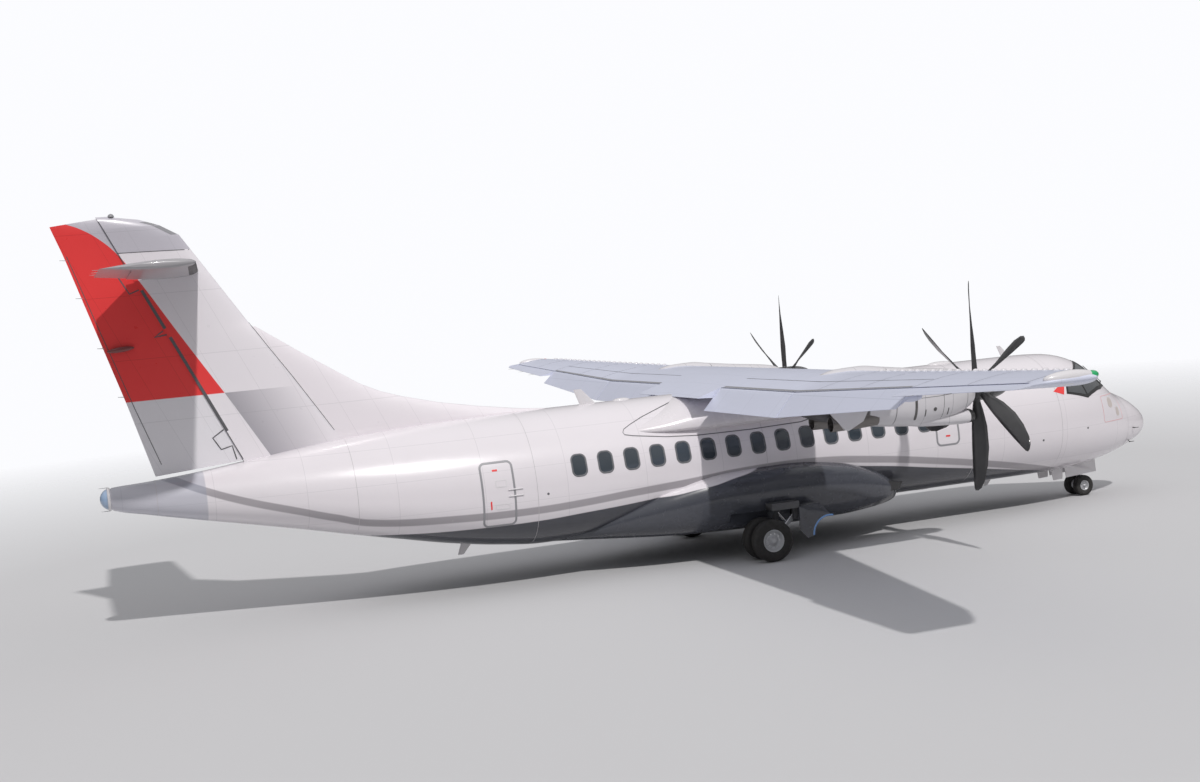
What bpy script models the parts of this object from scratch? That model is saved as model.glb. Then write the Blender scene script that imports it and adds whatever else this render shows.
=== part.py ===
"""Twin turboprop airliner with a high wing and a T-tail, standing on its wheels.

Units are metres. +X points to the nose, +Y to port, +Z up, and the ground is z = 0.
"""

import math

import bmesh
import bpy
from mathutils import Quaternion, Vector

# Driving dimensions
HALF_LENGTH = 11.335
WING_TIP_Y = 12.285
TAILPLANE_TIP_Y = 3.655
OVERALL_HEIGHT = 7.586
SEAT = 0.0003            # gap between pieces that touch
HULL_SIDES = 36          # points around a fuselage section

# Fuselage sections: a half ellipse above the waist, a flattened one below it
HULL_STATIONS = (        # x, half width, top, waist, bottom
    (11.335, 0.030, 1.510, 1.480, 1.450),
    (11.310, 0.130, 1.600, 1.480, 1.360),
    (11.230, 0.250, 1.720, 1.480, 1.240),
    (11.050, 0.400, 1.880, 1.490, 1.120),
    (10.750, 0.580, 2.080, 1.520, 1.010),
    (10.320, 0.800, 2.290, 1.580, 0.880),
    (10.030, 0.930, 2.560, 1.630, 0.810),
    (9.740, 1.050, 2.810, 1.680, 0.760),
    (9.500, 1.135, 3.010, 1.720, 0.725),
    (9.200, 1.220, 3.140, 1.755, 0.695),
    (8.800, 1.315, 3.220, 1.790, 0.665),
    (8.300, 1.385, 3.247, 1.810, 0.652),
    (7.600, 1.4325, 3.2525, 1.820, 0.650),
    (-3.000, 1.4325, 3.2525, 1.820, 0.660),
    (-3.900, 1.420, 3.250, 1.830, 0.750),
    (-4.800, 1.370, 3.235, 1.870, 0.900),
    (-5.750, 1.270, 3.190, 1.940, 1.110),
    (-6.670, 1.120, 3.120, 2.050, 1.320),
    (-7.580, 0.930, 3.020, 2.170, 1.540),
    (-8.500, 0.710, 2.900, 2.290, 1.750),
    (-9.350, 0.510, 2.800, 2.380, 1.940),
    (-10.200, 0.330, 2.735, 2.450, 2.140),
    (-10.850, 0.200, 2.700, 2.510, 2.310),
    (-10.950, 0.110, 2.610, 2.510, 2.410),
)
BELLY_POWER = 2.3        # 2 is an ellipse, more is flatter
RADOME_X = 10.45
FORWARD_X = 6.15
REAR_X = -3.30
TAIL_CONE_X = -10.05

# Wing, by its chord line; the outer panels taper from the kink to the tip
KINK_Y = 4.83
WING_ROOT = {"le": 2.55, "chord": 2.57, "z": 3.33, "twist": math.radians(3.2), "thick": 0.18}
WING_TIP = {"le": 1.46, "chord": 1.41, "z": 3.69, "twist": math.radians(1.8), "thick": 0.13}
WING_CAMBER = 0.02
HINGE_SHARE = 0.80       # chord share ahead of the flap and aileron hinges
LIP = 0.006              # skin left over the hinge cove
COVE_GAP = 0.008         # between a control surface's nose and its cove
CENTRE_Y = 1.62          # half width of the wing's centre piece
FLAP_END_Y = 8.94
AILERON_END_Y = 12.0
END_GAP = 0.012          # between the ends of neighbouring surfaces
BRACKET_HALF = 0.004     # half thickness of the hinge bracket between the flaps
PIN_RADIUS = 0.008       # hinge pins of flaps, ailerons, elevators and doors
PIN_GAP = 0.0007         # from a hinge pin's end to its seat
FLAP_REST_DEG = 30.0     # flaps are down as in the landing approach

# Belly fairing: x, half width, top of the side, bottom
POD_STATIONS = (
    (-2.40, 0.95, 0.95, 0.640), (-1.70, 1.36, 1.26, 0.615), (-0.60, 1.66, 1.50, 0.585),
    (0.60, 1.82, 1.66, 0.560), (1.80, 1.86, 1.68, 0.550), (3.00, 1.80, 1.56, 0.555),
    (3.70, 1.66, 1.36, 0.590), (4.10, 1.48, 1.18, 0.620), (4.35, 1.20, 1.00, 0.640),
)

# Fin and rudder: leading edge by height, straight hinge and trailing edge
FIN_LEADING = (          # z, x
    (2.60, -2.30), (3.26, -2.60), (3.31, -3.10), (3.44, -3.90), (3.60, -4.70), (3.80, -5.43),
    (3.93, -5.80), (4.11, -6.17), (4.33, -6.50), (4.80, -7.20), (5.44, -8.10), (6.40, -8.705),
    (7.13, -9.17), (7.33, -9.50), (7.45, -9.85), (7.52, -10.30),
)
FIN_SPLIT_Z = 6.45       # the tailplane's height, where fin and cap part
FIN_TOP_Z = 7.52
RUDDER_HINGE = {"x": -8.74, "z": 3.55, "slope": -0.46}
RUDDER_TRAILING = {"x": -11.335, "z": 7.42, "slope": -0.292}
FIN_HALF_THICKNESS = 0.155
RUDDER_GAP = 0.016
RUDDER_PIN = {"radius": 0.020, "reach": 0.12, "bore": 0.0208}

# Tailplane and elevators
TAIL_Z = 6.45
TAIL_ROOT = {"le": -8.90, "te": -10.72}
TAIL_TIP = {"le": -9.20, "te": -10.66}
ELEVATOR_HINGE_X = -10.17
TAIL_THICK = 0.11
ELEVATOR_ROOT_Y = 0.29
ELEVATOR_ROOT_FLARE = 0.62
ELEVATOR_END_Y = 3.50

# Nacelles, engines and propellers
NACELLE_Y = 4.05
PROP_X = 4.573
PROP_Z = 3.04
PROP_RADIUS = 1.965
BLADE_COUNT = 6
HUB_RADIUS = 0.27
HUB_HALF = 0.16
NACELLE_STATIONS = (     # same columns as the hull
    (4.380, 0.300, 3.330, 3.000, 2.400),
    (4.200, 0.380, 3.390, 3.000, 2.360),
    (3.800, 0.445, 3.450, 3.000, 2.370),
    (3.200, 0.475, 3.520, 2.980, 2.410),
    (2.620, 0.480, 3.600, 2.980, 2.500),
    (2.200, 0.470, 3.655, 3.000, 2.560),
    (1.700, 0.430, 3.640, 3.050, 2.640),
    (1.200, 0.360, 3.500, 3.100, 2.770),
    (0.750, 0.240, 3.300, 3.120, 2.920),
)
NACELLE_SIDES = 28
COWL_END_X = 2.62
COWL_SKIN = 0.03
ENGINE = {"x0": COWL_END_X, "x1": 4.05, "half_y": 0.27, "z0": 2.72, "z1": 3.22}

# Landing gear
MAIN_AXLE = Vector((1.00, 2.05, 0.4065))
MAIN_TYRE = {"radius": 0.4065, "width": 0.22, "rim": 0.215, "offset": 0.21}
NOSE_AXLE = Vector((9.58, 0.0, 0.225))
NOSE_TYRE = {"radius": 0.225, "width": 0.16, "rim": 0.11, "offset": 0.165}

# Doors: x range, z range, side (+1 port), skin thickness and depth of the space behind
PASSENGER_DOOR = {"x0": -5.05, "x1": -4.30, "z0": 1.26, "z1": 3.00, "side": 1}
CARGO_DOOR = {"x0": 6.24, "x1": 7.515, "z0": 1.20, "z1": 2.73, "side": 1}
SERVICE_DOOR = {"x0": -4.34, "x1": -3.74, "z0": 1.26, "z1": 2.44, "side": -1}
DOOR_SKIN = 0.06
DOOR_GAP = 0.008
DOOR_HINGES = {          # which edge, its inset along the skin, and how far outside the skin
    "passenger_door": {"edge": "z0", "inset": 0.026, "outside": 0.005},
    "cargo_door": {"edge": "z1", "inset": 0.005, "outside": -0.007},
}
AIRSTAIR_BEVEL = 0.012   # cut off the airstair door's inner aft edge, which swings past its frame
VESTIBULE = 0.50

# Space inside the tail, which leaves the centre of mass ahead of the main wheels
TAIL_WALL = 0.15
TAIL_SPACE = (           # x, largest half width, narrow beside the airstair's space
    (-3.20, 0.38), (-4.20, 0.38), (-5.15, 0.38), (-5.40, 1.20), (-5.75, 1.20), (-6.67, 1.20),
    (-7.58, 1.20), (-8.20, 1.20),
)

COLOURS = {              # material: base colour, roughness, metallic
    "white_paint": ((0.86, 0.83, 0.85), 0.25, 0.0),
    "wing_paint": ((0.62, 0.66, 0.76), 0.35, 0.0),
    "belly_paint": ((0.09, 0.095, 0.11), 0.35, 0.0),
    "red_paint": ((0.70, 0.05, 0.05), 0.30, 0.0),
    "black_composite": ((0.02, 0.02, 0.022), 0.35, 0.0),
    "dark_glass": ((0.03, 0.035, 0.045), 0.08, 0.0),
    "gear_grey": ((0.30, 0.31, 0.33), 0.40, 0.3),
    "wheel_grey": ((0.62, 0.63, 0.65), 0.35, 0.4),
    "tyre_rubber": ((0.025, 0.025, 0.027), 0.80, 0.0),
    "engine_metal": ((0.35, 0.35, 0.36), 0.40, 0.8),
    "lamp_red": ((0.60, 0.03, 0.03), 0.15, 0.0),
}

for old in list(bpy.data.objects):
    bpy.data.objects.remove(old, do_unlink=True)

parts = bpy.data.collections.new("turboprop_airliner")
cutters = bpy.data.collections.new("cutters")
bpy.context.scene.collection.children.link(parts)
bpy.context.scene.collection.children.link(cutters)


def make_material(name):
    colour, roughness, metallic = COLOURS[name]
    material = bpy.data.materials.new(name)
    material.use_nodes = True
    shader = material.node_tree.nodes["Principled BSDF"]
    shader.inputs["Base Color"].default_value = (*colour, 1.0)
    shader.inputs["Roughness"].default_value = roughness
    shader.inputs["Metallic"].default_value = metallic
    return material


MATERIALS = {name: make_material(name) for name in COLOURS}


def add_part(name, mesh, material, origin=(0.0, 0.0, 0.0)):
    """Put a mesh, whose points are in world space, into the parts with its own origin."""
    for vertex in mesh.vertices:
        vertex.co -= Vector(origin)
    mesh.materials.append(MATERIALS[material])
    mesh.shade_smooth()
    mesh.set_sharp_from_angle(angle=math.radians(35))
    item = bpy.data.objects.new(name, mesh)
    item.location = origin
    parts.objects.link(item)
    return item


def add_cutter(name, mesh):
    item = bpy.data.objects.new(name, mesh)
    item.hide_render = True
    item.display_type = "WIRE"
    cutters.objects.link(item)
    return item


def boolean(item, cutter, operation="DIFFERENCE"):
    modifier = item.modifiers.new(cutter.name, "BOOLEAN")
    modifier.operation = operation
    modifier.solver = "EXACT"
    modifier.object = cutter


def finish_mesh(name, bm):
    bmesh.ops.remove_doubles(bm, verts=bm.verts, dist=1e-5)
    bmesh.ops.dissolve_degenerate(bm, edges=bm.edges, dist=1e-6)
    bmesh.ops.recalc_face_normals(bm, faces=bm.faces)
    mesh = bpy.data.meshes.new(name)
    bm.to_mesh(mesh)
    bm.free()
    return mesh


def loft_mesh(name, rings):
    """Skin a row of closed rings with equal point counts, and cap both ends.

    The quads are split the same way each time, so that a piece and its cutter match.
    """
    bm = bmesh.new()
    rows = [[bm.verts.new(point) for point in ring] for ring in rings]
    count = len(rows[0])
    for lower, upper in zip(rows, rows[1:]):
        for k in range(count):
            n = (k + 1) % count
            bm.faces.new((lower[k], lower[n], upper[n]))
            bm.faces.new((lower[k], upper[n], upper[k]))
    bm.faces.new(rows[0])
    bm.faces.new(rows[-1])
    return finish_mesh(name, bm)


def box_mesh(name, low, high):
    bm = bmesh.new()
    bmesh.ops.create_cube(bm, size=1.0)
    low, high = Vector(low), Vector(high)
    for vertex in bm.verts:
        vertex.co = (low + high) / 2 + vertex.co * (high - low)
    return finish_mesh(name, bm)


def rod_mesh(name, start, end, radius, end_radius=None, segments=20):
    """A round bar or cone between two points."""
    start, end = Vector(start), Vector(end)
    bm = bmesh.new()
    bmesh.ops.create_cone(bm, cap_ends=True, segments=segments, radius1=radius,
                          radius2=radius if end_radius is None else end_radius,
                          depth=(end - start).length)
    turn = (end - start).to_track_quat("Z", "Y").to_matrix().to_4x4()
    turn.translation = (start + end) / 2
    bm.transform(turn)
    return finish_mesh(name, bm)


def pin_mesh(start, towards, reach, radius=PIN_RADIUS):
    """A hinge pin that starts inside its own piece and stands out of it by its reach."""
    towards = towards.normalized()
    return rod_mesh("pin", start - towards * 0.03, start + towards * reach, radius, segments=16)


def union_mesh(name, meshes):
    """Join overlapping solids into one closed mesh."""
    base = bpy.data.objects.new(name, meshes[0])
    parts.objects.link(base)
    helpers = [add_cutter(name + "_join", mesh) for mesh in meshes[1:]]
    for helper in helpers:
        boolean(base, helper, "UNION")
    graph = bpy.context.evaluated_depsgraph_get()
    joined = bpy.data.meshes.new_from_object(base.evaluated_get(graph))
    joined.name = name
    for item in [base, *helpers]:
        bpy.data.objects.remove(item, do_unlink=True)
    return joined


def blend(table, key):
    """Monotone cubic interpolation of every column of a table against its first column."""
    rows = sorted(table)
    key = min(max(key, rows[0][0]), rows[-1][0])
    i = max(j for j in range(len(rows) - 1) if rows[j][0] <= key)

    def slope(j, column):
        if j == 0 or j == len(rows) - 1:
            return 0.0
        before = (rows[j][column] - rows[j - 1][column]) / (rows[j][0] - rows[j - 1][0])
        after = (rows[j + 1][column] - rows[j][column]) / (rows[j + 1][0] - rows[j][0])
        return 0.0 if before * after <= 0 else 2 * before * after / (before + after)

    width = rows[i + 1][0] - rows[i][0]
    t = (key - rows[i][0]) / width
    values = []
    for column in range(1, len(rows[0])):
        a, b = rows[i][column], rows[i + 1][column]
        m0, m1 = slope(i, column) * width, slope(i + 1, column) * width
        values.append((2 * t**3 - 3 * t**2 + 1) * a + (t**3 - 2 * t**2 + t) * m0
                      + (3 * t**2 - 2 * t**3) * b + (t**3 - t**2) * m1)
    return values


def body_point(table, x, angle, grow=0.0, centre_y=0.0):
    """A point on a section: angle 0 is the top, 90 degrees is the port side."""
    half_width, top, waist, bottom = blend(table, x)
    side, up = math.sin(angle), math.cos(angle)
    if up >= 0:
        return Vector((x, centre_y + (half_width + grow) * side, waist + (top - waist + grow) * up))
    share = 2 / BELLY_POWER
    y = (half_width + grow) * math.copysign(abs(side) ** share, side)
    z = waist - (waist - bottom + grow) * abs(up) ** share
    return Vector((x, centre_y + y, z))


def body_rings(table, x0, x1, sides, grow=0.0, centre_y=0.0):
    stations = [row[0] for row in table]
    if table is HULL_STATIONS:
        stations += [RADOME_X, FORWARD_X, REAR_X, TAIL_CONE_X]
    stations = sorted([x0, x1, *[x for x in stations if min(x0, x1) + 0.01 < x < max(x0, x1) - 0.01]])
    return [[body_point(table, x, 2 * math.pi * k / sides, grow, centre_y) for k in range(sides)]
            for x in stations]


def hull_rings(x0, x1, grow=0.0):
    return body_rings(HULL_STATIONS, x0, x1, HULL_SIDES, grow)


def hull_angle(x, z):
    """The port-side section angle at which the hull reaches height z."""
    low, high = 0.0, math.pi
    for _ in range(40):
        middle = (low + high) / 2
        if body_point(HULL_STATIONS, x, middle).z > z:
            low = middle
        else:
            high = middle
    return low


def skin_patch(name, door, edge, outside, inside, rows=8, bevel=0.0):
    """A piece of hull skin between two stations and two heights, cut square to the skin.

    A bevel takes that much off its inner face at the aft end.
    """
    rings = []
    stations = [door["x0"] - edge + (door["x1"] - door["x0"] + 2 * edge) * k / 3 for k in range(4)]
    for x in stations:
        first = hull_angle(x, door["z1"]) - edge / 1.4
        last = hull_angle(x, door["z0"]) + edge / 1.4
        outer, inner = [], []
        for k in range(rows + 1):
            angle = first + (last - first) * k / rows
            point = body_point(HULL_STATIONS, x, angle)
            tangent = (body_point(HULL_STATIONS, x, angle + 1e-3)
                       - body_point(HULL_STATIONS, x, angle - 1e-3)).normalized()
            normal = Vector((0.0, -tangent.z, tangent.y))
            outer.append(point + normal * outside)
            inner.append(point - normal * inside + Vector((0.0 if rings else bevel, 0.0, 0.0)))
        ring = outer + inner[::-1]
        rings.append([Vector((p.x, p.y * door["side"], p.z)) for p in ring])
    return loft_mesh(name, rings)


def half_thickness(share, thick):
    """Symmetric section: half thickness per unit chord at a chord share from the nose."""
    return 5 * thick * (0.2969 * math.sqrt(share) - 0.1260 * share - 0.3516 * share**2
                        + 0.2843 * share**3 - 0.1036 * share**4)


def wing_at(y):
    """The wing's chord line and thickness at a distance from the centre line."""
    t = max(0.0, (abs(y) - KINK_Y) / (WING_TIP_Y - KINK_Y))
    return {key: WING_ROOT[key] + (WING_TIP[key] - WING_ROOT[key]) * t for key in WING_ROOT}


def wing_point(y, share, lift):
    """A point of the wing: chord share from the nose and height over the chord line."""
    wing = wing_at(y)
    drop = (share - 0.25) * wing["chord"] * math.sin(wing["twist"])
    return Vector((wing["le"] - share * wing["chord"], y, wing["z"] - drop + lift))


def wing_camber(y, share):
    return 4 * WING_CAMBER * share * (1 - share) * wing_at(y)["chord"]


def wing_surface(y, share, side):
    wing = wing_at(y)
    lift = wing_camber(y, share) + side * half_thickness(share, wing["thick"]) * wing["chord"]
    return wing_point(y, share, lift)


def wing_hinge(y):
    return wing_point(y, HINGE_SHARE, wing_camber(y, HINGE_SHARE))


def nose_radius(half):
    return half - LIP - COVE_GAP


def spaced(count):
    """Shares from 0 to 1, closer together near 0."""
    return [1 - math.cos(math.pi / 2 * k / count) for k in range(count + 1)]


def wing_ring(y, cove, grow=0.0, count=11):
    """Section of the wing: the whole section, or cut at the hinge with a round cove.

    The lower skin ends ahead of the hinge, which leaves the flap room to swing down.
    """
    hinge = wing_hinge(y)
    wing = wing_at(y)
    radius = half_thickness(HINGE_SHARE, wing["thick"]) * wing["chord"] - LIP
    low_angle = math.radians(-50)
    last, low_last = 1.0, 1.0
    if cove:
        last = HINGE_SHARE
        low_last = HINGE_SHARE - radius * math.cos(low_angle) / wing["chord"]
    ring = [wing_surface(y, s * last, 1) for s in reversed(spaced(count))]
    ring += [wing_surface(y, s * low_last, -1) for s in spaced(count)[1:]]
    if cove:
        for k in range(7):
            angle = low_angle + (math.pi / 2 - low_angle) * k / 6
            ring.append(hinge + Vector((radius * math.cos(angle), 0, radius * math.sin(angle))))
    else:
        ring[0].z += 0.003
        ring[-1].z -= 0.003
    if grow:
        ring = grown(ring, grow)
    return ring


def grown(ring, distance):
    """Push the points of a section in an XZ plane outward."""
    count = len(ring)
    area = sum(ring[k].x * ring[(k + 1) % count].z - ring[(k + 1) % count].x * ring[k].z
               for k in range(count))
    turn = 1 if area > 0 else -1
    moved = []
    for k in range(count):
        along = (ring[(k + 1) % count] - ring[k - 1])
        normal = Vector((along.z, 0, -along.x)).normalized() * turn
        moved.append(ring[k] + normal * distance)
    return moved


def control_ring(hinge, half, tail, tail_drop):
    """A flap-like section: a round nose about the hinge and straight sides to a thin tail."""
    radius = nose_radius(half)
    ring = []
    for k in range(9):
        angle = math.radians(100 - 25 * k)
        ring.append((radius * math.cos(angle), radius * math.sin(angle)))
    ring.append((-tail, tail_drop - 0.003))
    ring.append((-tail, tail_drop + 0.003))
    return [hinge + Vector((u, 0, w)) for u, w in ring]


def wing_control_ring(y):
    wing = wing_at(y)
    half = half_thickness(HINGE_SHARE, wing["thick"]) * wing["chord"]
    tail = (1 - HINGE_SHARE) * wing["chord"]
    drop = -wing_camber(y, HINGE_SHARE) - tail * math.sin(wing["twist"])
    return control_ring(wing_hinge(y), half, tail, drop)


def mirrored(ring, side):
    return [Vector((p.x, p.y * side, p.z)) for p in ring]


def build_hull():
    """Nose, three fuselage barrels and tail cone, parted where the real skins meet."""
    spans = (
        ("radome", RADOME_X, HALF_LENGTH, "white_paint"),
        ("fuselage_forward", FORWARD_X, RADOME_X - SEAT, "white_paint"),
        ("fuselage_centre", REAR_X, FORWARD_X - SEAT, "white_paint"),
        ("fuselage_rear", TAIL_CONE_X, REAR_X - SEAT, "white_paint"),
        ("tail_cone", HULL_STATIONS[-1][0], TAIL_CONE_X - SEAT, "white_paint"),
    )
    return {name: add_part(name, loft_mesh(name, hull_rings(x0, x1)), colour)
            for name, x0, x1, colour in spans}


def build_doors(hull):
    """Airstair and cargo doors with the space behind them, and the fixed service door."""
    doors = (            # name, door, barrel, depth of the space, gap, bevel
        ("passenger_door", PASSENGER_DOOR, "fuselage_rear", VESTIBULE, DOOR_GAP, AIRSTAIR_BEVEL),
        ("cargo_door", CARGO_DOOR, "fuselage_forward", VESTIBULE, DOOR_GAP, 0.0),
        ("service_door", SERVICE_DOOR, "fuselage_rear", DOOR_SKIN + SEAT, 0.004, 0.0),
    )
    for name, door, barrel, depth, gap, bevel in doors:
        cutter = add_cutter(name + "_space", skin_patch(name + "_space", door, gap, 0.08, depth))
        boolean(hull[barrel], cutter)
        pieces = [skin_patch(name, door, 0.0, 0.0, DOOR_SKIN, bevel=bevel)]
        origin = Vector()
        if name in DOOR_HINGES:
            aft, fore = door_hinge(door, **DOOR_HINGES[name])
            origin = (aft + fore) / 2
            lean = abs((fore - aft).normalized().y)
            reach = gap - PIN_GAP - PIN_RADIUS * lean
            pieces += [pin_mesh(aft, aft - fore, reach), pin_mesh(fore, fore - aft, reach)]
        add_part(name, union_mesh(name, pieces), "white_paint", origin)


def door_hinge(door, edge, inset, outside):
    """The two ends of a door's hinge line, along the skin near the given edge."""
    turn = (inset if edge == "z1" else -inset) / 1.4
    ends = [body_point(HULL_STATIONS, x, hull_angle(x, door[edge]) + turn, outside)
            for x in (door["x0"], door["x1"])]
    return mirrored(ends, door["side"])


def build_tail_space(rear_hull):
    """Hollow the rear fuselage from its front face, around the doors' own spaces."""
    rings = []
    for x, limit in TAIL_SPACE:
        ring = [body_point(HULL_STATIONS, x, 2 * math.pi * k / HULL_SIDES, -TAIL_WALL)
                for k in range(HULL_SIDES)]
        rings.append([Vector((x, min(max(p.y, -limit), limit), p.z)) for p in ring])
    boolean(rear_hull, add_cutter("tail_space", loft_mesh("tail_space", rings)))


def build_glazing(forward):
    """The wrap-around cockpit glass, let into the nose skin."""
    columns = (          # x of the lower edge, its angle, x of the upper edge, its angle
        (8.97, -74, 8.86, -51), (9.45, -72, 9.22, -44), (9.86, -67, 9.42, -36),
        (10.13, -52, 9.50, -25), (10.27, -28, 9.535, -12), (10.31, 0, 9.545, 0),
        (10.27, 28, 9.535, 12), (10.13, 52, 9.50, 25), (9.86, 67, 9.42, 36),
        (9.45, 72, 9.22, 44), (8.97, 74, 8.86, 51),
    )

    def surface(column, t):
        low_x, low_a, up_x, up_a = column
        x, angle = low_x + (up_x - low_x) * t, math.radians(low_a + (up_a - low_a) * t)
        point = body_point(HULL_STATIONS, x, angle)
        ahead = body_point(HULL_STATIONS, x + 0.02, angle) - point
        across = body_point(HULL_STATIONS, x, angle + 0.02) - point
        normal = across.cross(ahead).normalized()
        return point, normal if normal.z > 0 else -normal

    grid = [[surface(column, j / 3) for j in range(4)] for column in columns]

    def patch(name, outside, inside, edge):
        """Thicken the grid along its normals, its rim moved out along the outer facets."""
        rings = []
        last = len(grid) - 1
        for k, spots in enumerate(grid):
            beside = grid[min(max(k, 1), last - 1)]
            outer, inner = [], []
            for j, (point, normal) in enumerate(spots):
                within = spots[min(max(j, 1), 2)][0]
                moved = point + (point - within).normalized() * edge
                moved += (point - beside[j][0]).normalized() * edge
                outer.append(moved + normal * outside)
                inner.append(moved - normal * inside)
            rings.append(outer + inner[::-1])
        return loft_mesh(name, rings)

    cutter = add_cutter("glazing_space", patch("glazing_space", 0.05, 0.0306, 0.003))
    boolean(forward, cutter)
    glass = add_part("cockpit_glazing", patch("cockpit_glazing", 0.05, 0.03, 0.0), "dark_glass")
    nose = add_cutter("nose_solid", loft_mesh("nose_solid", hull_rings(FORWARD_X, RADOME_X)))
    boolean(glass, nose, "INTERSECT")


def build_wing():
    """Centre piece, cove-backed wings, tips, flaps and ailerons."""
    centre = [wing_ring(y, cove=False) for y in (-CENTRE_Y, CENTRE_Y)]
    add_part("wing_centre", loft_mesh("wing_centre", centre), "wing_paint")
    for side, word in ((1, "left"), (-1, "right")):
        spans = [CENTRE_Y + SEAT, KINK_Y, 8.5, AILERON_END_Y + 0.02]
        rings = [mirrored(wing_ring(y, cove=True), side) for y in spans]
        hinge = wing_hinge(KINK_Y)
        bracket = box_mesh("bracket", hinge - Vector((0.02, BRACKET_HALF, 0.02)),
                           hinge + Vector((0.20, BRACKET_HALF, 0.02)))
        flip_side(bracket, side)
        mesh = union_mesh("wing", [loft_mesh("wing", rings), bracket])
        add_part("wing_" + word, mesh, "wing_paint")

        tip = []
        start = AILERON_END_Y + 0.02 + SEAT
        for share in (0.0, 0.45, 0.75, 0.93, 1.0):
            y = start + (WING_TIP_Y - start) * share
            shrink = math.sqrt(1 - (0.985 * share) ** 2)
            middle = wing_point(y, 0.45, wing_camber(y, 0.45))
            ring = [Vector((middle.x + (p.x - middle.x) * (0.55 + 0.45 * shrink), y,
                            middle.z + (p.z - middle.z) * shrink))
                    for p in wing_ring(y, cove=False)]
            tip.append(mirrored(ring, side))
        add_part("wing_tip_" + word, loft_mesh("wing_tip", tip), "wing_paint")

        surfaces = (     # name, inner y, outer y, y of the pin's seat, rest angle
            ("flap_inner_", CENTRE_Y + 0.02, KINK_Y - END_GAP, CENTRE_Y, FLAP_REST_DEG),
            ("flap_outer_", KINK_Y + END_GAP, FLAP_END_Y, KINK_Y + BRACKET_HALF, FLAP_REST_DEG),
            ("aileron_", FLAP_END_Y + 0.03, AILERON_END_Y, AILERON_END_Y + 0.02 + SEAT, 0.0),
        )
        for name, y0, y1, seat, rest in surfaces:
            rings = [mirrored(wing_control_ring(y), side) for y in (y0, y1)]
            start, end = (mirrored([wing_hinge(y)], side)[0] for y in (y0, y1))
            axis = (end - start).normalized() * side
            if seat < y0:
                pin = pin_mesh(start, start - end, y0 - seat - PIN_GAP)
            else:
                pin = pin_mesh(end, end - start, seat - y1 - PIN_GAP)
            mesh = union_mesh(name, [loft_mesh(name, rings), pin])
            item = add_part(name + word, mesh, "wing_paint", start)
            item.rotation_mode = "QUATERNION"
            item.rotation_quaternion = Quaternion(axis, -math.radians(rest))


def wing_cutter(name, half_span, cove):
    rings = [wing_ring(y, cove, SEAT) for y in (-half_span, half_span)]
    return add_cutter(name, loft_mesh(name, rings))


def pod_rings(grow):
    """Sections of the belly fairing with its two pods, grown where it is a cutter."""
    rings = []
    for x, half, top, low in POD_STATIONS:
        tall = top - low
        edge = ((half - 0.50, top + 0.06 + grow), (half - 0.14 + grow, top - 0.03 + grow),
                (half - 0.02 + grow, top - 0.22 * tall), (half + grow, top - 0.45 * tall),
                (half - 0.07 + grow, low + 0.28 * tall), (half - 0.25 + grow, low + 0.08 * tall - grow),
                (half - 0.50, low - grow))
        right = [(-y, z) for y, z in reversed(edge)]
        rings.append([Vector((x, y, z)) for y, z in (*edge, *right)])
    return rings


def build_fairings(hull, fuselage_cutter, centre_cutter):
    """The saddle between wing and fuselage, and the belly pods that carry the main gear."""
    boolean(hull["fuselage_centre"], centre_cutter)

    saddle = (           # x, half width, ridge height, lower edge
        (-1.35, 1.14, 2.74, 2.68), (-1.10, 1.24, 2.86, 2.60), (-0.60, 1.38, 3.03, 2.53),
        (0.05, 1.45, 3.24, 2.49), (0.60, 1.46, 3.30, 2.47), (1.60, 1.46, 3.35, 2.46),
        (2.55, 1.42, 3.40, 2.50), (3.10, 1.15, 3.37, 2.75), (3.70, 0.45, 3.275, 3.15),
    )
    rings = []
    for x, half, ridge, low in saddle:
        tall = ridge - low
        edge = ((half - 0.4 * tall, ridge + 0.02), (half - 0.12 * tall, ridge - 0.02 * tall),
                (half, ridge - 0.18 * tall), (half, low + 0.35 * tall),
                (half - 0.05, low + 0.08 * tall), (half - 0.18, low))
        right = [(-y, z) for y, z in reversed(edge)]
        rings.append([Vector((x, y, z)) for y, z in (*edge, *right)])
    item = add_part("wing_body_fairing", loft_mesh("wing_body_fairing", rings), "white_paint")
    boolean(item, fuselage_cutter)
    boolean(item, centre_cutter)

    belly_mesh = loft_mesh("belly_fairing", pod_rings(0.0))
    belly = add_part("belly_fairing", belly_mesh, "belly_paint")
    boolean(belly, fuselage_cutter)
    for side in (1, -1):
        low = (0.40, 1.66, 0.30)
        high = (1.90, 2.60, 0.93)
        well = box_mesh("wheel_well", low, high)
        for vertex in well.vertices:
            vertex.co.y *= side
        if side < 0:
            well.flip_normals()
        boolean(belly, add_cutter("wheel_well", well))


def table_at(table, key):
    """Straight-line interpolation in a two-column table."""
    for (k0, v0), (k1, v1) in zip(table, table[1:]):
        if key <= k1:
            return v0 + (v1 - v0) * (key - k0) / (k1 - k0)
    return table[-1][1]


def hinge_x(z):
    return RUDDER_HINGE["x"] + RUDDER_HINGE["slope"] * (z - RUDDER_HINGE["z"])


def trailing_x(z):
    return RUDDER_TRAILING["x"] + RUDDER_TRAILING["slope"] * (z - RUDDER_TRAILING["z"])


def fin_half(x, z):
    """Half thickness of fin and dorsal fin at a point of their outline."""
    front, rear = table_at(FIN_LEADING, z), trailing_x(z)
    share = min(1.0, max(0.0, (front - x) / (front - rear)))
    fade = 1.0 - 0.30 * (z - 3.0) / (FIN_TOP_Z - 3.0)
    close = min(1.0, math.sqrt(max(0.0, (FIN_TOP_Z + 0.02 - z) / 0.22)))
    return FIN_HALF_THICKNESS * fade * close * half_thickness(share, 1.0) * 2


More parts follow.
